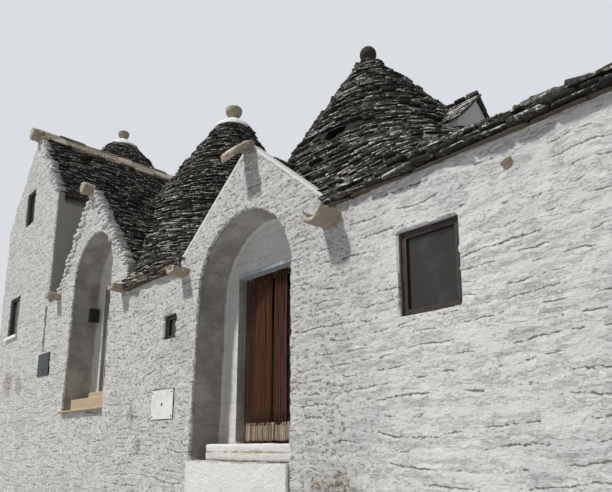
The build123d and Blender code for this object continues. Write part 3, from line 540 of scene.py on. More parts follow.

# %% [markdown]
# ### Limewash
# The wash is bright on the lumps, greyer in the hollows as painted shade, and yellowed by rain in
# broad stains.
# Low on the wall it is dusty. In the niches it is a warm grey-brown, partly stained plaster and partly
# painted shade, which grows with depth and on faces turned from the street.
# The hollow attribute that the relief left on the mesh greys the joints as painted shade, and the
# course attribute places the cracks, whose dark lines are partly painted shade. Worn patches show
# flaked wash and bare stone, a narrow upright strip at the gabled house's right corner is darkened,
# and feet have dirtied the edges of the white steps.

# %% The limewash finish
WASH = (0.77, 0.775, 0.77, 1)
WASH_GREY = (0.66, 0.67, 0.68, 1)
STAIN = (0.70, 0.665, 0.60, 1)
DUST = (0.56, 0.51, 0.43, 1)
FLAKED = (0.42, 0.33, 0.25, 1)
NICHE_STAIN_AND_SHADE = (0.225, 0.197, 0.168, 1)
SHADE_PLASTER = (0.40, 0.375, 0.355, 1)
HOLLOW_SHADE = (0.48, 0.475, 0.46, 1)
PIT_TONE = (0.16, 0.14, 0.12, 1)
JOINT_TONE = (0.115, 0.095, 0.075, 1)
BARE_STONE = (0.25, 0.20, 0.145, 1)
# Each patch is (centre, radius).
BARE_PATCHES = (((5.88, 0.0, 3.25), 0.055),)
WORN_PATCHES = (((3.95, 0.0, 0.62), 0.50), ((-6.15, 0.0, 2.50), 0.50), ((-5.4, 0.0, 2.40), 0.35),
                ((-0.15, 0.0, 1.55), 0.22), ((0.1, 0.0, 1.15), 0.18))
STEP_DIRT = (0.33, 0.22, 0.13, 1)
RUBBLE_END_X = 3.9
PLAIN_SIDE_Z = 3.95
DARK_STRIP = ((-4.15, -4.04), (2.95, 3.88))
CORNER_CLEAR = 0.05
STEP_RISE = 0.20


def above(tree, value, low):
    return math_node(tree, "GREATER_THAN", value, low)


def below(tree, value, high):
    return math_node(tree, "LESS_THAN", value, high)


def between(tree, value, low, high):
    """1 where the value lies between two limits."""
    return times(tree, above(tree, value, low), below(tree, value, high))


def patch_mask(tree, where, centre, radius, ragged, scale, reach):
    """1 in a round patch and 0 outside it, with an edge that noise makes ragged."""
    away = add_node(tree, "ShaderNodeVectorMath", {0: where, 1: centre}, operation="DISTANCE").outputs["Value"]
    uneven = plus(tree, away, times(tree, cloud(tree, where, scale), radius * ragged))
    return span(tree, uneven, radius * reach[0], radius * reach[1])


def limewash_material(name, sheltered=True, rubble=0.0, dirty_edges=()):
    """Limewash over stone. The sheltered one adds the niches' painted shade, a dark strip and worn patches."""
    made, tree, shader = new_material(name, roughness=0.9, Specular_IOR_Level=0.25)
    where = here(tree)
    x, y, z = parts_of(tree, where)
    broad = use_group(tree, mottle, First=WASH, Second=WASH_GREY, Scale=1.1, Cover=0.35)
    stain = cloud(tree, where, 2.1, 6.0, 0.65, 0.6)
    colour = mix_colour(tree, span(tree, stain, 0.56, 0.72, 0.0, 0.45), broad["Color"], STAIN)
    # Painted shade: the hollows and joints are greyed.
    colour = mix_colour(tree, span(tree, stored(tree, "hollow"), 0.25, 0.95, 0.0, 0.35), colour, HOLLOW_SHADE)
    dusty = times(tree, span(tree, z, 0.75, 0.05), span(tree, cloud(tree, where, 3.0), 0.35, 0.7), 0.55)
    colour = mix_colour(tree, dusty, colour, DUST)
    for edge in dirty_edges:
        off = math_node(tree, "ABSOLUTE", minus(tree, z, edge))
        uneven = plus(tree, off, times(tree, cloud(tree, where, 9.0), 0.05))
        colour = mix_colour(tree, span(tree, uneven, 0.040, 0.025, 0.0, 0.8), colour, STEP_DIRT)
    coarse = 1.0
    if sheltered:
        # Painted shade in the niches: the warm grey-brown is partly stained plaster and partly shade, stronger deeper
        # in and on faces turned from the street.
        depth = span(tree, y, 0.018, 0.050)
        worn = span(tree, cloud(tree, where, 2.4, 5.0, 0.6), 0.30, 0.62, 0.65, 1.0)
        inside = times(tree, below(tree, y, WALL_Y + 0.2),
                       between(tree, x, GABLE_LEFT_X + CORNER_CLEAR, END_RIGHT_X - CORNER_CLEAR))
        turned = span(tree, facing(tree)["Y"], -0.85, -0.5, 0.30, 1.0)
        colour = mix_colour(tree, times(tree, depth, worn, inside, turned, 0.88), colour, NICHE_STAIN_AND_SHADE)
        # A narrow upright strip at the gabled house's right corner is darkened.
        dark_strip = times(tree, between(tree, x, *DARK_STRIP[0]), between(tree, z, *DARK_STRIP[1]), 0.75)
        colour = mix_colour(tree, dark_strip, colour, JOINT_TONE)
        # The front wall's return beside the gabled house's side takes the side's plaster colour, partly painted
        # shade.
        on_side = between(tree, x, GABLE_RIGHT_X - 0.04, GABLE_RIGHT_X + CORNER_CLEAR)
        plain = times(tree, on_side, above(tree, z, PLAIN_SIDE_Z), above(tree, y, 0.02))
        colour = mix_colour(tree, plain, colour, SHADE_PLASTER)
        coarse = times(tree, span(tree, depth, 0.0, 1.0, 1.0, 0.18), minus(tree, 1.0, times(tree, plain, 0.8)))
        for centre, radius in BARE_PATCHES:
            spot = patch_mask(tree, where, centre, radius, 1.2, 14.0, (1.7, 1.4))
            colour = mix_colour(tree, spot, colour, BARE_STONE)
        rubble = span(tree, x, RUBBLE_END_X + 1.3, RUBBLE_END_X - 0.2, 0.30, 1.0)
        flaked = span(tree, cloud(tree, where, 24.0, 5.0, 0.65), 0.47, 0.56)
        for centre, radius in WORN_PATCHES:
            spot = patch_mask(tree, where, centre, radius, 1.0, 5.0, (1.3, 0.8))
            rubble = plus(tree, rubble, spot)
            colour = mix_colour(tree, times(tree, spot, flaked), colour, FLAKED)
    wall = use_group(tree, masonry, Course=stored(tree, "course"), Depth=0.020, Coarse=coarse, Rubble=rubble)
    colour = mix_colour(tree, times(tree, wall["Pits"], 0.80), colour, PIT_TONE)
    # The joint colour is partly painted shade along the bed joints.
    colour = mix_colour(tree, times(tree, wall["Joint"], 0.80), colour, JOINT_TONE)
    set_finish(tree, shader, colour, span(tree, stain, 0.3, 0.7, 0.82, 0.97), wall["Normal"])
    return made


limewash = limewash_material("limewash")
limewash_open = limewash_material("limewash_open", sheltered=False)
limewash_rubble = limewash_material("limewash_rubble", sheltered=False, rubble=1.0)
step_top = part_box("large_portal_steps")[1].z
limewash_steps = limewash_material("limewash_steps", sheltered=False,
                                   dirty_edges=(step_top - STEP_RISE, step_top - STEP_RISE * 0.45))
print("finish", limewash.name)

# %% [markdown]
# ### Roof stone and bare stone
# The roof slabs are grey limestone, bleached at their edges. Their undersides are darkened as
# painted shade, and their upward faces take a little more pale crust as a painted highlight.
# Each slab carries its own tone, so neighbours differ. Carved stones, steps and ridge slabs are the
# same limestone where rain keeps it tan. The bed stone under the slabs is painted nearly black as the
# shade in the gaps between them, but a strip at the rear cone's foot runs over the gabled house's back
# wall, and is limewashed with it.

# %% The roof stone and the bare stone finishes
SLAB_DARK = (0.020, 0.019, 0.017, 1)
SLAB_MID = (0.115, 0.110, 0.100, 1)
SLAB_PALE = (0.66, 0.64, 0.60, 1)
# Painted shade: the bed under the slabs is nearly black, for the shade in the gaps.
BED_SHADE_TONES = ((0.016, 0.015, 0.014, 1), (0.03, 0.028, 0.026, 1), (0.06, 0.056, 0.05, 1), 0.0)
TAN_TONES = ((0.28, 0.23, 0.17, 1), (0.47, 0.40, 0.31, 1), (0.66, 0.61, 0.53, 1), 0.5)
# Tan stone darkened as painted shade, for the under layers beneath the eave slabs.
EAVE_TAN_SHADE_TONES = ((0.09, 0.073, 0.055, 1), (0.20, 0.165, 0.125, 1), (0.36, 0.315, 0.25, 1), 0.35)
STEP_TONES = ((0.33, 0.265, 0.18, 1), (0.52, 0.42, 0.29, 1), (0.66, 0.58, 0.46, 1), 0.4)
DARK_TONES = ((0.05, 0.04, 0.032, 1), (0.15, 0.115, 0.085, 1), (0.27, 0.23, 0.18, 1), 0.25)


def slab_material(name, dark, mid, pale, pale_cover, washed_back=False):
    """Stone from dark to mid by its own tone, with pale crust over some share of it."""
    made, tree, shader = new_material(name, roughness=0.9, Specular_IOR_Level=0.2)
    where, tone, upward = here(tree), stored(tree, "tone"), facing(tree)["Z"]
    crust = cloud(tree, where, 24.0, 7.0, 0.72, 0.3)
    # The pale crust is the stone's own bleaching, plus a small painted highlight on upward faces.
    bleach_and_highlight = plus(tree, crust, times(tree, span(tree, upward, 0.1, 0.6), 0.10), times(tree, tone, 0.10),
                    times(tree, cloud(tree, where, 5.0, 3.0, 0.5), 0.12))
    pale_mask = span(tree, bleach_and_highlight, 0.82 - 0.34 * pale_cover, 0.92 - 0.30 * pale_cover)
    colour = mix_colour(tree, pale_mask, mix_colour(tree, tone, dark, mid), pale)
    spots = cloud(tree, where, 55.0, 3.0, 0.6)
    colour = mix_colour(tree, span(tree, spots, 0.56, 0.66, 0.0, 0.60), colour, dark)
    # Painted shade: faces that look down are darkened.
    colour = mix_colour(tree, span(tree, upward, -0.1, -0.6, 0.0, 0.65), colour, dark)
    if washed_back:
        x, y, _ = parts_of(tree, where)
        on_wall = times(tree, between(tree, x, GABLE_LEFT_X, GABLE_RIGHT_X), above(tree, y, HOUSE_BACK_Y - 0.12))
        colour = mix_colour(tree, on_wall, colour, WASH_GREY)
    pits = use_group(tree, pitting, Scale=55.0, Depth=0.010, Strength=0.9)
    set_finish(tree, shader, colour, span(tree, crust, 0.3, 0.7, 0.8, 0.97), pits["Normal"])
    return made


roof_stone = slab_material("roof_stone", SLAB_DARK, SLAB_MID, SLAB_PALE, 0.52)
painted_shade_bed = slab_material("painted_shade_bed", *BED_SHADE_TONES)
rear_painted_shade_bed = slab_material("rear_painted_shade_bed", *BED_SHADE_TONES, washed_back=True)
tan_stone = slab_material("tan_stone", *TAN_TONES)
eave_stone = slab_material("eave_stone", *EAVE_TAN_SHADE_TONES)
step_stone = slab_material("step_stone", *STEP_TONES)
dark_stone = slab_material("dark_stone", *DARK_TONES)
print("finishes", roof_stone.name, painted_shade_bed.name, tan_stone.name)

# %% [markdown]
# ### Plaster, wood, glass, metal and cloth strands
# The small finishes follow: grey plaster on the upper house's side, darkened further as painted shade,
# dark varnished window wood with grain along the bars, window glass made dim as painted shade of the
# room behind, painted metal doors, and dyed strands.

# %% The small finishes


def mottled_material(name, first, second, scale, cover, roughness, depth=0.002, pit_scale=70.0, **constants):
    """Two tones in clouds, with fine pits."""
    made, tree, shader = new_material(name, roughness=roughness, **constants)
    body = use_group(tree, mottle, First=first, Second=second, Scale=scale, Cover=cover)
    pits = use_group(tree, pitting, Scale=pit_scale, Depth=depth, Strength=0.6)
    sheen = span(tree, body["Mask"], 0.0, 1.0, roughness - 0.08, min(roughness + 0.08, 1.0))
    set_finish(tree, shader, body["Color"], sheen, pits["Normal"])
    return made


def grained_material(name, dark, light, roughness):
    """Wood with its grain upright."""
    made, tree, shader = new_material(name, roughness=roughness)
    grain = cloud(tree, stretched(tree, here(tree), (60.0, 60.0, 4.0)), 1.0, 6.0, 0.6, 0.8)
    colour = mix_colour(tree, span(tree, grain, 0.35, 0.65), dark, light)
    sheen = span(tree, grain, 0.3, 0.7, roughness - 0.1, roughness + 0.15)
    set_finish(tree, shader, colour, sheen, bumped(tree, grain, 0.4, 0.001))
    return made


# The side's plaster is grey, darkened further as painted shade: that side faces away from the light.
grey_shaded_plaster = mottled_material("grey_shaded_plaster", (0.39, 0.37, 0.355, 1), (0.31, 0.28, 0.255, 1), 1.3, 0.5, 0.9,
                                0.006, 30.0)
room_plaster = mottled_material("room_plaster", (0.62, 0.61, 0.59, 1), (0.52, 0.50, 0.47, 1), 1.1, 0.5, 0.9, 0.004)
paving = mottled_material("paving", (0.52, 0.47, 0.40, 1), (0.40, 0.36, 0.30, 1), 2.5, 0.5, 0.7, 0.004)
smooth_wash = mottled_material("smooth_wash", (0.80, 0.80, 0.79, 1), (0.68, 0.67, 0.65, 1), 5.0, 0.3, 0.85, 0.004)
window_wood = grained_material("window_wood", (0.008, 0.005, 0.004, 1), (0.034, 0.018, 0.012, 1), 0.5)
door_paint = grained_material("door_paint", (0.20, 0.205, 0.19, 1), (0.31, 0.315, 0.29, 1), 0.6)
lintel_paint = mottled_material("lintel_paint", (0.42, 0.46, 0.51, 1), (0.30, 0.32, 0.35, 1), 6.0, 0.35, 0.5)
cabinet_paint = mottled_material("cabinet_paint", (0.70, 0.695, 0.675, 1), (0.58, 0.57, 0.54, 1), 4.0, 0.4, 0.6)
slate_paint = mottled_material("slate_paint", (0.020, 0.028, 0.036, 1), (0.014, 0.019, 0.024, 1), 8.0, 0.4, 0.6)
black_paint = mottled_material("black_paint", (0.018, 0.019, 0.022, 1), (0.035, 0.034, 0.034, 1), 14.0, 0.3, 0.35)
# The panes are opaque: their dark tone is painted shade for the unlit room behind the glass.
window_glass = mottled_material("window_glass", (0.026, 0.026, 0.024, 1), (0.046, 0.044, 0.039, 1), 2.6, 0.4, 0.14,
                                0.0004, 5.0, Specular_IOR_Level=0.35)


def strand_material(name, dark, light, scale):
    """Twisted strands: each has its own tone, with fine marks along it."""
    made, tree, shader = new_material(name, roughness=0.75, Specular_IOR_Level=0.2)
    marks = cloud(tree, here(tree), scale, 3.0, 0.6)
    mixed = plus(tree, times(tree, stored(tree, "tone"), 0.65), times(tree, marks, 0.45))
    colour = mix_colour(tree, span(tree, mixed, 0.15, 0.9), dark, light)
    set_finish(tree, shader, colour, span(tree, marks, 0.3, 0.7, 0.6, 0.85), bumped(tree, marks, 0.5, 0.002))
    return made


brown_strands = strand_material("brown_strands", (0.028, 0.011, 0.005, 1), (0.105, 0.041, 0.017, 1), 60.0)
straw_fringe = strand_material("straw_fringe", (0.26, 0.17, 0.10, 1), (0.74, 0.63, 0.50, 1), 50.0)
olive_strands = strand_material("olive_strands", (0.05, 0.046, 0.022, 1), (0.25, 0.225, 0.115, 1), 50.0)
floor_paint = mottled_material("floor_paint", (0.56, 0.57, 0.58, 1), (0.54, 0.55, 0.56, 1), 0.6, 0.5, 0.9, 0.0005)
floor_mesh.materials.append(floor_paint)
print(len(bpy.data.materials), "finishes")

# %% [markdown]
# ## The street fronts
# All the front walls are one limewashed surface, with no seam where one house meets the next.
# So they are remeshed together and split in two only to keep each piece light.
# Stone relief is strongest on the open fronts and fades to smooth plaster inside the niches.

# %% Make the limewashed fronts
FRONT_WALLS = ("gable_front_wall", "small_portal_wall", "link_wall", "large_portal_wall", "wing_front_wall")
FRONT_VOXEL = 0.03
FRONT_DEPTH = 0.03
BEHIND = 0.06
SNAP = 0.032


def front_strength(co, normal):
    """1 on the open fronts, less in the niches and the doorways."""
    deep = smooth_step(FRONT_DEPTH, 0.14, co[:, 1]) * (co[:, 1] < WALL_Y - FRONT_DEPTH)
    return 1.0 - 0.75 * deep


def behind_fronts(centre, normal):
    """True for faces towards the rooms and under the roofs."""
    if centre.y <= PARAPET_Y + BEHIND:
        return False
    if centre.z > EAVE_Z - 0.05 and normal.y > -0.5:
        return abs(normal.x) < 0.5 or centre.x > GABLE_RIGHT_X + 0.1
    return normal.y > 0.5


def solid_boxes(name):
    """The box (low, high) of each solid of a node."""
    form = merged_copy(name)
    boxes, left = [], set(form.verts)
    while left:
        reached, edge = set(), [left.pop()]
        while edge:
            v = edge.pop()
            reached.add(v)
            for e in v.link_edges:
                other = e.other_vert(v)
                if other in left:
                    left.discard(other)
                    edge.append(other)
        boxes.append(tuple([pick(v.co[i] for v in reached) for i in range(3)] for pick in (min, max)))
    form.free()
    return boxes


def square_windows(mesh, boxes):
    """Brings the net back to the straight sides of each window's opening, where the frame sits."""
    co = positions(mesh)
    for low, high in boxes:
        near, within = co[:, 1] > FRONT_DEPTH, np.abs(co[:, 1]) < WALL_Y + 0.1
        arris = np.abs(co[:, 1]) <= FRONT_DEPTH
        for axis in (0, 2):
            near &= (co[:, axis] > low[axis] - SNAP) & (co[:, axis] < high[axis] + SNAP)
            within &= (co[:, axis] > low[axis]) & (co[:, axis] < high[axis])
            arris &= (co[:, axis] > low[axis] - SNAP / 2) & (co[:, axis] < high[axis] + SNAP / 2)
        for axis in (0, 2):
            for side, sign in ((low[axis], 1), (high[axis], -1)):
                past = (co[:, axis] - side) * sign
                close = (near & (past > -SNAP) & (past < SNAP)) | (within & (past < SNAP))
                close |= arris & (past > -SNAP / 2) & (past < 0)
                co[close, axis] = side
    mesh.vertices.foreach_set("co", co.ravel())
    mesh.update()


def split_pieces(mesh, x):
    """The mesh cut in two at a plane across the street, as two bmeshes."""
    halves = []
    for keep_left in (True, False):
        form = form_of(mesh)
        away = [f for f in form.faces if (f.calc_center_median().x < x) != keep_left]
        bmesh.ops.delete(form, geom=away, context="FACES")
        halves.append(form)
    return halves


front_net = thinned(remeshed(merged_copy(*FRONT_WALLS), FRONT_VOXEL), behind_fronts)
displaced(front_net, stone_relief, front_strength)
windows = solid_boxes("front_window_frames")
square_windows(front_net, windows)
print(len(windows), "window openings squared")
left_front, right_front = split_pieces(front_net, LINK_X)
new_piece("limewashed_fronts_left", left_front, limewash,
          ("gable_front_wall", "small_portal_wall"))
new_piece("limewashed_fronts_right", right_front, limewash,
          ("link_wall", "large_portal_wall", "wing_front_wall"))

# %% [markdown]
# ## The backs and the sides
# The rear walls are the same masonry, seen from further away, so their net is coarser. The rear
# trullo's front, set back beside the gabled house, is made with them. The party walls at both ends
# have a slighter relief, and the gabled house's right side is plain grey plaster, darkened further as
# painted shade.

# %% Make the limewashed backs
BACK_WALLS = ("gable_back_wall", "long_back_wall", "rear_trullo_side_wall", "wing_end_wall", "rear_trullo_front_wall")
BACK_VOXEL = 0.055
SIDE_VOXEL = 0.06
END_LEFT_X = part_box("rear_trullo_side_wall")[0].x
REAR_FRONT_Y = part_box("rear_trullo_front_wall")[0].y


def inside_backs(centre, normal):
    """True for faces that look into the rooms."""
    set_back = centre.y < REAR_FRONT_Y + BEHIND and centre.x < GABLE_RIGHT_X
    at_end = centre.x < END_LEFT_X + BEHIND or centre.x > END_RIGHT_X - BEHIND
    return not (centre.y > HOUSE_BACK_Y - BEHIND or at_end or set_back)


def back_strength(co, normal):
    """Full on the rear, slight on the party walls."""
    return np.where(np.abs(normal[:, 0]) > 0.7, 0.4, 1.0)


back_net = thinned(remeshed(merged_copy(*BACK_WALLS), BACK_VOXEL), inside_backs)
displaced(back_net, stone_relief, back_strength)
new_piece("limewashed_backs", form_of(back_net), limewash_open, BACK_WALLS)

side_net = remeshed(merged_copy("gable_right_wall"), SIDE_VOXEL)
side_net = thinned(side_net, lambda centre, normal: centre.x < GABLE_RIGHT_X - 0.05)
displaced(side_net, plaster_relief)
new_piece("plastered_gable_side", form_of(side_net), grey_shaded_plaster, ("gable_right_wall",))

# %% [markdown]
# ## Roof slabs
# The roofs are thousands of thin limestone slabs, laid dry in level courses and stepping in as they
# rise. A level cut through the CAD roofs gives each course its line. Slabs of random length are laid
# along it, each a little out, a little turned and a little tilted, and they bend round cones and into
# valleys because the cut does. All are copies of a few shapes knocked out of square: twelve bevelled
# ones towards the street, and eight plain ones at the back.

# %% Slab shapes and a function that lays copies of them
WORN_EDGE = 0.07
SLAB_SKEW = (0.07, 0.13, 0.16)


def shape_of(form):
    """The form as arrays, triangulated: (vertices, faces). The form is used up."""
    bmesh.ops.triangulate(form, faces=form.faces[:])
    corners = np.array([v.co for v in form.verts])
    faces = np.array([[v.index for v in f.verts] for f in form.faces])
    form.free()
    return corners, faces


def worn_edges(form, edges, width, segments=1, clamp=False):
    bmesh.ops.bevel(form, geom=edges, offset=width, offset_type="OFFSET", segments=segments, profile=0.5,
                    affect="EDGES", material=-1, clamp_overlap=clamp)


def slab_shape(seed, bevelled=True):
    """A unit slab, centred, with uneven corners and, when bevelled, worn edges."""
    chance = random.Random(seed)
    form = bmesh.new()
    bmesh.ops.create_cube(form, size=1)
    for v in form.verts:
        v.co.x += chance.uniform(-SLAB_SKEW[0], SLAB_SKEW[0])
        v.co.y += chance.uniform(-SLAB_SKEW[1], SLAB_SKEW[1]) if v.co.y < 0 else 0
        v.co.z += chance.uniform(-SLAB_SKEW[2], SLAB_SKEW[2])
    if bevelled:
        worn_edges(form, form.edges[:], WORN_EDGE, clamp=True)
    return shape_of(form)


def laid_copies(shapes, placements):
    """One mesh of many copies. Each placement is (shape number, 4 x 4 matrix, tone)."""
    points, faces, tones, start = [], [], [], 0
    for number, matrix, tone in placements:
        corners, sides = shapes[number]
        turned = corners @ np.array(matrix.to_3x3()).T + np.array(matrix.translation)
        points.append(turned)
        faces.append(sides + start)
        tones.append(np.full(len(corners), tone, np.float32))
        start += len(corners)
    points, faces, tones = np.concatenate(points), np.concatenate(faces), np.concatenate(tones)
    mesh = bpy.data.meshes.new("copies")
    mesh.vertices.add(len(points))
    mesh.vertices.foreach_set("co", points.ravel())
    mesh.loops.add(faces.size)
    mesh.loops.foreach_set("vertex_index", faces.ravel())
    mesh.polygons.add(len(faces))
    mesh.polygons.foreach_set("loop_start", np.arange(len(faces)) * 3)
    store(mesh, "tone", tones)
    mesh.update(calc_edges=True)
    return mesh


def swayed(chance, *turns):
    """Small random turns as one matrix, each given as (axis, least angle, greatest angle)."""
    result = Matrix.Identity(4)
    for axis, least, greatest in turns:
        result = result @ Matrix.Rotation(chance.uniform(least, greatest), 4, axis)
    return result


WORN_SHAPES = [slab_shape(seed) for seed in range(12)]
PLAIN_SHAPES = [slab_shape(seed, bevelled=False) for seed in range(100, 108)]
SHAPES = WORN_SHAPES + PLAIN_SHAPES
print(len(SHAPES), "slab shapes of", len(WORN_SHAPES[0][1]), "and", len(PLAIN_SHAPES[0][1]), "triangles")

# %% [markdown]
# The level cuts come from the bisect operator. The edges that it makes are walked end to end into lines.

# %% Cut the roofs into courses
ROOFS = ("small_cone_front", "small_cone_rear", "large_cone_front", "large_cone_rear", "wing_roof",
         "gable_roof", "rear_cone_roof", "roof_dormer")
COURSE_RISE = 0.048
SLAB_LENGTH = (0.10, 0.27)
SLAB_DEPTH = 0.18
SLAB_THICK = (0.014, 0.032)
SLAB_OUT = (0.000, 0.065)
UPWARD = 0.01
CAP_CLEAR = 0.09
HOLE_CLEAR = 0.05
LOOKOUT_AT = Vector((3.03, 0.0, 5.04))
LOOKOUT_HALF = 0.15
SHORTEST_LINE = 0.05
GABLE_OVERHANG = 0.10
LINE_LAP = 0.02
FEWEST_SLABS = 7
LEAST_LONGEST = 0.12
SLAB_SHAKE = 0.010
PLAIN_BEYOND_Y = 3.4
FIRST_COURSE = 0.03
UP = Vector((0, 0, 1))


def outer_roofs():
    """The upward faces of all roofs in one bmesh, each marked with its roof's number."""
    form = bmesh.new()
    owner = form.faces.layers.int.new("owner")
    for number, name in enumerate(ROOFS):
        known = set(form.faces)
        form.from_mesh(nodes[name].data)
        for face in form.faces:
            if face not in known:
                face[owner] = number
    form.normal_update()
    under = [f for f in form.faces if f.normal.z < UPWARD]
    bmesh.ops.delete(form, geom=under, context="FACES")
    bmesh.ops.remove_doubles(form, verts=form.verts, dist=5e-4)
    return form


def course_lines(form, z):
    """The level lines of the roofs at height z: lists of (point, outward, owner), end to end."""
    level = form.copy()
    owner = level.faces.layers.int["owner"]
    geometry = level.verts[:] + level.edges[:] + level.faces[:]
    cut = bmesh.ops.bisect_plane(level, geom=geometry, dist=1e-5, plane_co=(0, 0, z), plane_no=(0, 0, 1))
    edges = [e for e in cut["geom_cut"] if isinstance(e, bmesh.types.BMEdge) and e.link_faces]
    touching = {}
    for e in edges:
        for v in e.verts:
            touching.setdefault(v, []).append(e)
    lines, used = [], set()
    starts = [v for v, es in touching.items() if len(es) == 1] + list(touching)
    for v in starts:
        line = []
        while True:
            onward = [e for e in touching[v] if e not in used]
            if not onward:
                break
            e = onward[0]
            used.add(e)
            other = e.other_vert(v)
            normal = e.link_faces[0].normal
            line.append((v.co.copy(), other.co.copy(), Vector((normal.x, normal.y, 0)), e.link_faces[0][owner]))
            v = other
        if line:
            lines.append(line)
    level.free()
    return lines


def along(line, distance):
    """(point, outward direction, owner) at a distance along a line."""
    for a, b, outward, owner in line:
        length = (b - a).length
        if distance <= length:
            return a.lerp(b, distance / length if length else 0), outward, owner
        distance -= length
    a, b, outward, owner = line[-1]
    return b.copy(), outward, owner


def lay_course(line, chance, placements):
    """Lays one course of slabs along a level line, and leaves out the lookout hole."""
    total = sum((b - a).length for a, b, _, _ in line)
    if total < SHORTEST_LINE:
        return
    at_gable = [end.y < PARAPET_Y + 0.03 for end in (line[0][0], line[-1][1])]
    s = -chance.uniform(0.0, GABLE_OVERHANG) if at_gable[0] else -LINE_LAP
    last = total + (chance.uniform(0.0, GABLE_OVERHANG) if at_gable[1] else LINE_LAP)
    longest = min(SLAB_LENGTH[1], max(total / FEWEST_SLABS, LEAST_LONGEST))
    while s < last - 0.03:
        length = min(chance.uniform(min(SLAB_LENGTH[0], longest * 0.6), longest), last - s)
        a, _, _ = along(line, max(s, 0))
        b, _, _ = along(line, min(s + length, total))
        middle, outward, owner = along(line, min(max(s + length / 2, 0), total))
        tangent = b - a
        if tangent.length < 0.01 or ROOFS[owner] == "roof_dormer":
            s += length
            continue
        tangent.normalize()
        out = Vector((tangent.y, -tangent.x, 0))
        if out.dot(outward) < 0:
            out = -out
        to_hole = middle - LOOKOUT_AT
        if (middle.y < 2.0 and abs(to_hole.z) < LOOKOUT_HALF + HOLE_CLEAR / 2
                and abs(to_hole.x) < LOOKOUT_HALF + HOLE_CLEAR + length * abs(tangent.x) / 2):
            s += length
            continue
        beyond = min(s, 0) + max(s + length - total, 0)
        thick = chance.uniform(*SLAB_THICK)
        shown = chance.uniform(*SLAB_OUT)
        centre = middle + tangent * beyond / 2 + out * (shown - SLAB_DEPTH / 2)
        centre.z += chance.uniform(-SLAB_SHAKE, SLAB_SHAKE)
        turn = Matrix((out.cross(UP), -out, UP)).transposed().to_4x4()
        sway = swayed(chance, ("Z", -0.09, 0.09), ("X", -0.02, 0.12), ("Y", -0.035, 0.035))
        size = Matrix.Diagonal((length * 1.02, SLAB_DEPTH, thick, 1))
        matrix = Matrix.Translation(centre) @ turn @ sway @ size
        worn = middle.y < PLAIN_BEYOND_Y
        first, count = (0, len(WORN_SHAPES)) if worn else (len(WORN_SHAPES), len(PLAIN_SHAPES))
        placements[owner].append((first + chance.randrange(count), matrix, chance.random()))
        s += length


surface = outer_roofs()
chance = random.Random(7)
placements = {number: [] for number in range(len(ROOFS))}
level = HEAD_Z + FIRST_COURSE
tops = [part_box(name)[1].z for name in ROOFS]
while level < max(tops) - CAP_CLEAR:
    for line in course_lines(surface, level):
        if level > tops[line[0][3]] - CAP_CLEAR:
            continue
        lay_course(line, chance, placements)
    level += COURSE_RISE * chance.uniform(0.9, 1.1)
surface.free()
print({name: len(placements[number]) for number, name in enumerate(ROOFS)}, "slabs")

# %% [markdown]
# The dormer's two slopes are too small for level courses, so its slabs lie flat on them in rows,
# from the foot to the ridge, and lap over its white gable.

# %% Lay the dormer's slabs
DORMER_RISE = 0.45
DORMER_ROWS = 6
DORMER_BACK = 0.75
DORMER_LAP = 0.05
DORMER_SLOPE = math.radians(38)
DORMER_DEPTH = 0.19

dormer_low, dormer_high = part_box("roof_dormer")
dormer_slabs = placements[ROOFS.index("roof_dormer")]
dormer_y = (dormer_low.y + dormer_high.y) / 2
chance = random.Random(43)
for side in (-1, 1):
    for row in range(DORMER_ROWS):
        down = 1 - row / DORMER_ROWS
        y = dormer_y + side * (dormer_high.y - dormer_y + DORMER_LAP) * down
        z = dormer_high.z + 0.035 - (DORMER_RISE + DORMER_LAP) * down
        x = dormer_high.x + DORMER_LAP
        while x > dormer_high.x - DORMER_BACK:
            length = chance.uniform(0.14, 0.28)
            lean = Matrix.Rotation(side * -DORMER_SLOPE, 4, "X") @ swayed(chance, ("Z", -0.05, 0.05))
            size = Matrix.Diagonal((length, DORMER_DEPTH, chance.uniform(0.025, 0.045), 1))
            at = Matrix.Translation((x - length / 2, y - side * 0.06, z + 0.03))
            dormer_slabs.append((chance.randrange(len(WORN_SHAPES)), at @ lean @ size, chance.random()))
            x -= length
print(len(dormer_slabs), "slabs on the dormer")

# %% [markdown]
# The copies for each roof become one piece. The CAD roof under it stays, and shows between the slabs
# and behind their gaps, mostly painted nearly black as the shade there.

# %% Make the slabs of each roof
BEDS = {"roof_dormer": smooth_wash, "rear_cone_roof": rear_painted_shade_bed}
for number, name in enumerate(ROOFS):
    finish_piece(name.replace("_roof", "") + "_slabs", laid_copies(SHAPES, placements[number]), roof_stone)
    set_material(nodes[name].data, BEDS.get(name, painted_shade_bed))

# %% [markdown]
# ## Eaves, ridges and verges
# The low wall heads carry a thin under layer of tan slabs, darkened as painted shade, and six grey
# layers over it, which throw the rain clear of the limewash. Each layer starts a little further back
# than the one below, as the roof rises, and two thick rows behind them pack the wall head. Over the
# link wall three tilted tan rows, darkened in the same way, lie among the grey ones. The gabled roof's
# right eave has a tan under layer and three grey ones.

# %% Lay the eave stones
STREET = Vector((0, -1, 0))
SIDEWAYS = Vector((1, 0, 0))
# Each layer is (height over the wall heads, distance from the edge).
UNDER_LAYER = (0.012, 0.045)
EAVE_LAYERS = ((0.052, 0.000), (0.090, 0.012), (0.126, 0.030), (0.160, 0.062), (0.196, 0.100), (0.230, 0.150))
PACKING_HEIGHT = 0.05
PACKING_Y = (0.30, 0.52)
GABLE_EAVE_LAYERS = ((-0.012, 0.05), (0.030, 0.06), (0.070, 0.05), (0.108, 0.02))
VALLEY_LAYERS = ((0.05, 0.0), (0.10, 0.01), (0.15, 0.02))


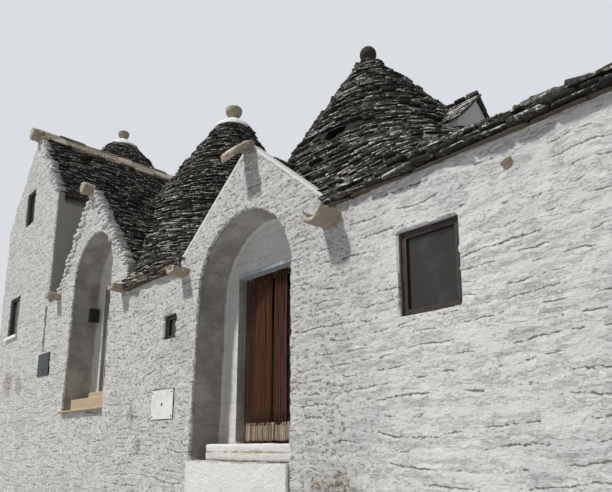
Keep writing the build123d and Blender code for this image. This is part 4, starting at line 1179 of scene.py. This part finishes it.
def laid_row(a, b, out, lengths, sizes, chance, placements, tilt=0.0, lift=0.01):
    """A row of slabs from a to b: out is the way that they reach, sizes (depth, thick) ranges."""
    run = (b - a).length
    tangent = (b - a).normalized()
    s = 0.0
    while s < run - 0.02:
        length = min(chance.uniform(*lengths), run - s)
        depth, thick = chance.uniform(*sizes[0]), chance.uniform(*sizes[1])
        up = tangent.cross(out) if tangent.cross(out).z > 0 else out.cross(tangent)
        centre = a + tangent * (s + length / 2) + out * chance.uniform(-0.02, 0.02)
        centre = centre + up * chance.uniform(-lift, lift) - out * depth / 2
        turn = Matrix((tangent, -out, up)).transposed().to_4x4()
        sway = swayed(chance, ("Z", -0.06, 0.06), ("X", tilt - 0.04, tilt + 0.04), ("Y", -0.03, 0.03))
        matrix = Matrix.Translation(centre) @ turn @ sway @ Matrix.Diagonal((length * 0.99, depth, thick, 1))
        placements.append((chance.randrange(len(WORN_SHAPES)), matrix, chance.random()))
        s += length


def street_row(x0, x1, y, height, *row, **more):
    """A row along the street at some height over the wall heads."""
    z = eave_low.z + height
    laid_row(Vector((x0, y, z)), Vector((x1, y, z)), STREET, *row, **more)


chance = random.Random(19)
eave_low, eave_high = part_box("eave_courses")
portal_s_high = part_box("small_portal_wall")[1]
portal_l_low, portal_l_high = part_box("large_portal_wall")
runs = ((portal_s_high.x, portal_l_low.x), (portal_l_high.x, eave_high.x))
under_layer, grey_layers = [], []
for x0, x1 in runs:
    height, back = UNDER_LAYER
    street_row(x0, x1, eave_low.y + back, height, (0.35, 0.80), ((0.24, 0.30), (0.013, 0.021)),
               chance, under_layer, lift=0.004)
    for height, back in EAVE_LAYERS:
        street_row(x0, x1, eave_low.y + back, height, (0.12, 0.38), ((0.24, 0.32), (0.026, 0.044)),
                   chance, grey_layers, lift=0.010)
    for y in PACKING_Y:
        street_row(x0, x1, y, PACKING_HEIGHT, (0.5, 0.8), ((0.30, 0.30), (0.09, 0.10)),
                   chance, grey_layers, lift=0.002)
gable_eave_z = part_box("gable_roof")[0].z
for height, reach in GABLE_EAVE_LAYERS:
    start = Vector((GABLE_RIGHT_X + reach, PARAPET_Y, gable_eave_z + height))
    layer = under_layer if height < 0 else grey_layers
    laid_row(start, Vector((start.x, HOUSE_BACK_Y, start.z)), SIDEWAYS, (0.16, 0.40),
             ((0.20, 0.26), (0.024, 0.040)), chance, layer, lift=0.006)
valley_x0, valley_x1 = runs[0]
for height, back in VALLEY_LAYERS:
    street_row(valley_x0 + 0.2, valley_x1 - 0.1, eave_low.y + back, height, (0.14, 0.38),
               ((0.16, 0.24), (0.028, 0.050)), chance, under_layer, tilt=0.10, lift=0.02)
finish_piece("eave_slabs", laid_copies(SHAPES, grey_layers), roof_stone, ("eave_courses",))
finish_piece("eave_undersides", laid_copies(SHAPES, under_layer), eave_stone)

# %% [markdown]
# The ridge is closed by broad tan slabs that lean on each other. The small portal's gable, and the
# gabled house's right verge, step up in rough whitewashed stones.

# %% Lay the ridge and the verge stones
RIDGE_LEAN = Vector((0.62, 0, -0.78))
RIDGE_SINK = 0.035
RIDGE_HALF = 0.30
VERGE_HIGH = (0.045, 0.085)
VERGE_LONG = (0.12, 0.26)
VERGE_TONE = 0.5

ridge_low, ridge_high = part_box("ridge_slabs")
ridge_x, ridge_z = (ridge_low.x + ridge_high.x) / 2, ridge_high.z - RIDGE_SINK
ridge_stones = []
for side in (1, -1):
    out = Vector((side * RIDGE_LEAN.x, 0, RIDGE_LEAN.z)).normalized()
    start = Vector((ridge_x, ridge_low.y, ridge_z)) + out * RIDGE_HALF
    end = Vector((ridge_x, ridge_high.y, ridge_z)) + out * RIDGE_HALF
    laid_row(start, end, out, (0.30, 0.62), ((0.30, 0.36), (0.035, 0.055)), chance, ridge_stones)
finish_piece("ridge_stones", laid_copies(SHAPES, ridge_stones), tan_stone)

gable_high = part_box("gable_front_wall")[1]
# Each verge is (foot, top, side that its stones keep to).
VERGES = (
    (Vector((-3.60, 0, 3.98)), Vector((-2.24, 0, 5.74)), -1),
    (Vector((-0.60, 0, 3.98)), Vector((-2.16, 0, 5.74)), 1),
    (Vector((gable_high.x - 0.03, 0, 6.40)), Vector((-5.57, 0, 8.27)), 1),
)
verge_stones = []
for foot, top, side in VERGES:
    z = foot.z
    while z < top.z - 0.05:
        share = (z - foot.z) / (top.z - foot.z)
        x = foot.x + (top.x - foot.x) * share
        high = chance.uniform(*VERGE_HIGH)
        long = chance.uniform(*VERGE_LONG)
        centre = Vector((x + side * (chance.uniform(-0.015, 0.045) - long / 2), PARAPET_Y / 2 - 0.02, z + high / 2))
        sway = swayed(chance, ("Y", -0.12, 0.12), ("Z", -0.1, 0.1))
        size = Matrix.Diagonal((long, PARAPET_Y + chance.uniform(0.0, 0.05), high, 1))
        matrix = Matrix.Translation(centre) @ sway @ size
        verge_stones.append((chance.randrange(len(WORN_SHAPES)), matrix, VERGE_TONE))
        z += high + chance.uniform(0.008, 0.03)
finish_piece("verge_stones", laid_copies(SHAPES, verge_stones), limewash_rubble)

# %% [markdown]
# The caps of two cones are domes of smooth limewash, thick enough to lap over the topmost course.
# A profile is spun about each cone's axis, then pushed about a little by noise.

# %% Make the limewashed caps
CAP_TOP = ((0.0, 0.225), (0.10, 0.205), (0.19, 0.145), (0.29, 0.060))
CAP_LAP = 0.12
CAP_THICK = 0.055
CAP_LUMP = 0.010
CAP_SIDES = 48
CONE_TOP_R = 0.33
SMALL_SLOPE = 0.61
REAR_SLOPE = 0.81
BETWEEN_CONES_X = -4.5


def cap_profile(top_radius, slope):
    """The cap's outline over a cone: a dome, then a coat that follows the cone's slope."""
    lap = [(top_radius + slope * drop + CAP_THICK, -drop) for drop in (0.0, CAP_LAP / 2, CAP_LAP)]
    inner = top_radius + slope * CAP_LAP * 0.9
    return CAP_TOP + tuple(lap) + ((inner, -CAP_LAP), (0.0, -CAP_LAP * 0.5))


def spun_form(profile, centre, z):
    """A closed form turned from (radius, height) points about an upright axis."""
    form = bmesh.new()
    corners = [form.verts.new((centre[0] + r, centre[1], z + h)) for r, h in profile]
    edges = [form.edges.new(pair) for pair in zip(corners, corners[1:])]
    bmesh.ops.spin(form, geom=corners + edges, cent=(centre[0], centre[1], z), axis=(0, 0, 1),
                   angle=2 * math.pi, steps=CAP_SIDES, use_merge=True)
    bmesh.ops.remove_doubles(form, verts=form.verts, dist=MERGE_DISTANCE)
    bmesh.ops.recalc_face_normals(form, faces=form.faces)
    return form


def both(first, second):
    """Two bmeshes joined in the first."""
    mesh = bpy.data.meshes.new("half")
    second.to_mesh(mesh)
    second.free()
    first.from_mesh(mesh)
    bpy.data.meshes.remove(mesh)
    return first


def centre_of(name, pick):
    """The middle of one solid of a node, seen from above, and the solid's lowest z."""
    form = merged_copy(name)
    side = [v.co for v in form.verts if pick(v.co)]
    low, high = [min(c[i] for c in side) for i in range(3)], [max(c[i] for c in side) for i in range(3)]
    form.free()
    return ((low[0] + high[0]) / 2, (low[1] + high[1]) / 2), low[2]


small_at, small_top = centre_of("cone_caps", lambda c: c.x > BETWEEN_CONES_X)
rear_at, rear_top = centre_of("cone_caps", lambda c: c.x < BETWEEN_CONES_X)
caps = both(spun_form(cap_profile(CONE_TOP_R, SMALL_SLOPE), small_at, small_top),
            spun_form(cap_profile(CONE_TOP_R, REAR_SLOPE), rear_at, rear_top))
cap_mesh = bpy.data.meshes.new("caps")
bmesh.ops.subdivide_edges(caps, edges=caps.edges[:], cuts=1, use_grid_fill=True)
caps.to_mesh(cap_mesh)
caps.free()
displaced(cap_mesh, lambda p: (CAP_LUMP * layered_noise(p, 7.0, 81, 3), np.zeros(len(p)), np.zeros(len(p))))
cap_mesh.shade_smooth()
finish_piece("limewashed_caps", cap_mesh, smooth_wash, ("cone_caps",))

# %% [markdown]
# ## Worn stones
# Steps, spouts and carved stones keep their CAD form under a fine net, which rounds their arrises
# and lets noise wear them.

# %% Wear the steps, the spouts and the carved stones
# Each row is (piece, CAD nodes, net size, depth of wear, finish, slot).
WORN = (
    ("worn_spouts", ("stone_spouts",), 0.014, 0.013, tan_stone, "tan_stone"),
    ("worn_apex_stones", ("apex_stones", "large_apex_slab"), 0.016, 0.016, tan_stone, "tan_stone"),
    ("worn_tan_steps", ("small_portal_steps",), 0.020, 0.006, step_stone, "tan_stone"),
    ("worn_white_steps", ("large_portal_steps",), 0.024, 0.010, limewash_steps, "limewashed_stone"),
    ("worn_pinnacles", ("bowl_pinnacles",), 0.010, 0.004, tan_stone, "tan_stone"),
)
WORN_TONE = 0.6


def worn_relief(depth):
    """Chips and hollows of a hand-cut stone."""
    def relief(points):
        height = depth * (layered_noise(points, 9.0, 91, 4) + 0.5 * value_noise(points, 34.0, 95))
        return height, np.clip(-layered_noise(points, 9.0, 97, 2), 0, 1), np.zeros(len(points))
    return relief


for label, replaced, voxel, depth, material, slot in WORN:
    net = displaced(remeshed(merged_copy(*replaced), voxel * (1)), worn_relief(depth))
    store(net, "tone", np.full(len(net.vertices), WORN_TONE))
    net.shade_smooth()
    finish_piece(label, net, material, replaced)

# %% [markdown]
# ## Strand curtains
# A bead or rope curtain keeps flies out of an open door. Each strand is a thin rod with a slight wave,
# and a few shapes repeated at random spacings read as dozens of strands, with dark gaps where they part.

# %% Hang the strand curtains
STRAND_BENDS = 9
# Each kind of strand is (spacing, width).
ROPE = (0.0175, 0.0175)
SPARSE = (0.034, 0.012)
STRAW = (0.014, 0.007)
OLIVE = (0.020, 0.018)
STRAND_DEPTH = 0.016
ROPE_FOOT = 0.19
STRAW_TOP = 0.23
SPARSE_TO = 0.16
ROPE_GAPS = ((0.54, 0.575), (0.83, 0.86))


def strand_shape(seed):
    """A unit strand that hangs from z = 1 to z = 0 with a slight wave."""
    chance = random.Random(seed)
    form = bmesh.new()
    bmesh.ops.create_cone(form, cap_ends=True, segments=6, radius1=0.5, radius2=0.5, depth=1)
    upright = [e for e in form.edges if abs(e.verts[0].co.z - e.verts[1].co.z) > 0.5]
    bmesh.ops.subdivide_edges(form, edges=upright, cuts=STRAND_BENDS)
    start, turns = chance.uniform(0, 6), chance.uniform(2, 5)
    for v in form.verts:
        v.co.z += 0.5
        v.co.x += 0.35 * math.sin(start + turns * v.co.z * 2)
        v.co.y += 0.25 * math.cos(start + turns * v.co.z * 3)
    return shape_of(form)


STRANDS = [strand_shape(seed) for seed in range(6)]


def hung_strands(low, high, sizes, chance, gaps=()):
    """Places strands across a doorway between two corners of its curtain: sizes (spacing, width)."""
    spacing, width = sizes
    placed, x = [], low.x + width / 2
    y = (low.y + high.y) / 2
    while x < high.x - width / 2:
        if not any(a < x < b for a, b in gaps):
            foot = low.z + chance.uniform(0.0, 0.02)
            wide = width * chance.uniform(0.8, 1.1)
            size = Matrix.Diagonal((wide, min(wide, STRAND_DEPTH), high.z - foot, 1))
            at = Matrix.Translation((x, y + chance.uniform(-0.002, 0.002), foot))
            placed.append((chance.randrange(len(STRANDS)), at @ size, chance.random()))
        x += spacing * chance.uniform(0.8, 1.2)
    return placed


chance = random.Random(29)
low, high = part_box("large_door_curtain")
rope_foot, sparse_x = low.z + ROPE_FOOT, low.x + SPARSE_TO
gaps = [(low.x + a, low.x + b) for a, b in ROPE_GAPS]
strands = hung_strands(Vector((sparse_x, low.y, rope_foot)), high, ROPE, chance, gaps)
strands += hung_strands(Vector((low.x, low.y, rope_foot)), Vector((sparse_x, high.y, high.z)), SPARSE, chance)
finish_piece("brown_strand_curtain", laid_copies(STRANDS, strands), brown_strands,
             ("large_door_curtain",))
fringe = hung_strands(low, Vector((high.x, high.y, low.z + STRAW_TOP)), STRAW, chance)
finish_piece("straw_fringe", laid_copies(STRANDS, fringe), straw_fringe)
low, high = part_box("small_door_curtain")
strands = hung_strands(low, high, OLIVE, chance)
finish_piece("olive_strand_curtain", laid_copies(STRANDS, strands), olive_strands,
             ("small_door_curtain",))

# %% [markdown]
# ## Cabinet fittings
# The meter door is held by four screws and a lock, and the slate cabinet by a lock. Each is a small
# turned head, bevelled round its rim. A thin black seal shows round the meter door.

# %% Fit the screws, the locks and the seal
SCREW_INSET = 0.035
# Each head is (radius, reach).
SCREW = (0.013, 0.008)
LOCK = (0.020, 0.010)
SLATE_LOCK = (0.022, 0.010)
SLATE_LOCK_INSET = 0.10
PROUD = 0.001
SEAL_EDGE = 0.022
SEAL_BACK = 0.016
SEAL_THICK = 0.020
HEAD_SIDES = 20


def add_head(form, at, radius, reach):
    """A round head on a face that looks to the street."""
    x, y, z = at
    at = (x, y - PROUD, z)
    turn = Matrix.Translation(at) @ Matrix.Rotation(math.radians(90), 4, "X")
    made = bmesh.ops.create_cone(form, cap_ends=True, segments=HEAD_SIDES, radius1=radius,
                                 radius2=radius * 0.9, depth=reach, matrix=turn)
    rim = [e for e in {e for v in made["verts"] for e in v.link_edges}
           if all(v.co.y < at[1] for v in e.verts)]
    worn_edges(form, rim, reach * 0.25, segments=2)


fittings = bmesh.new()
low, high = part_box("meter_cabinet")
middle_x, middle_z = (low.x + high.x) / 2, (low.z + high.z) / 2
for x in (low.x + SCREW_INSET, high.x - SCREW_INSET):
    for z in (low.z + SCREW_INSET, high.z - SCREW_INSET):
        add_head(fittings, (x, low.y, z), *SCREW)
add_head(fittings, (middle_x, low.y, middle_z), *LOCK)
seal = Matrix.Translation((middle_x, low.y + SEAL_BACK, middle_z))
size = Matrix.Diagonal((high.x - low.x + SEAL_EDGE, SEAL_THICK, high.z - low.z + SEAL_EDGE, 1))
bmesh.ops.create_cube(fittings, size=1.0, matrix=seal @ size)
new_piece("meter_fittings", fittings, black_paint)
lock = bmesh.new()
low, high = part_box("slate_cabinet")
add_head(lock, (high.x - SLATE_LOCK_INSET, low.y, (low.z + high.z) / 2), *SLATE_LOCK)
new_piece("slate_lock", lock, black_paint)

# %% [markdown]
# ## Finishes on the CAD nodes that stay
# Small solid pieces keep their CAD shape and only need the right finish. The nodes that new pieces
# stand in for get one too.

# %% Give the remaining CAD nodes their finishes
FINISHES = {
    tan_stone: ("ridge_slabs", "apex_stones", "large_apex_slab", "stone_spouts", "bowl_pinnacles"),
    step_stone: ("small_portal_steps",),
    dark_stone: ("ball_pinnacle",),
    roof_stone: ("eave_courses",),
    smooth_wash: ("cone_caps", "lower_window_sill"),
    limewash_open: ("large_portal_steps", "large_gable_coping"),
    room_plaster: ("gable_left_wall", "wing_cross_wall", "valley_cross_wall"),
    paving: ("ground_floors", "small_trullo_floor", "gable_floors"),
    cabinet_paint: ("meter_cabinet",),
    slate_paint: ("slate_cabinet",),
    black_paint: ("letterbox",),
    lintel_paint: ("large_door_lintel",),
    door_paint: ("small_door_frame",),
    window_wood: ("front_window_frames", "rear_window_frames"),
    window_glass: ("window_panes",),
    brown_strands: ("large_door_curtain",),
    olive_strands: ("small_door_curtain",),
}
for material, names in FINISHES.items():
    for name in names:
        set_material(nodes[name].data, material)
print(sum(len(names) for names in FINISHES.values()), "nodes dressed")
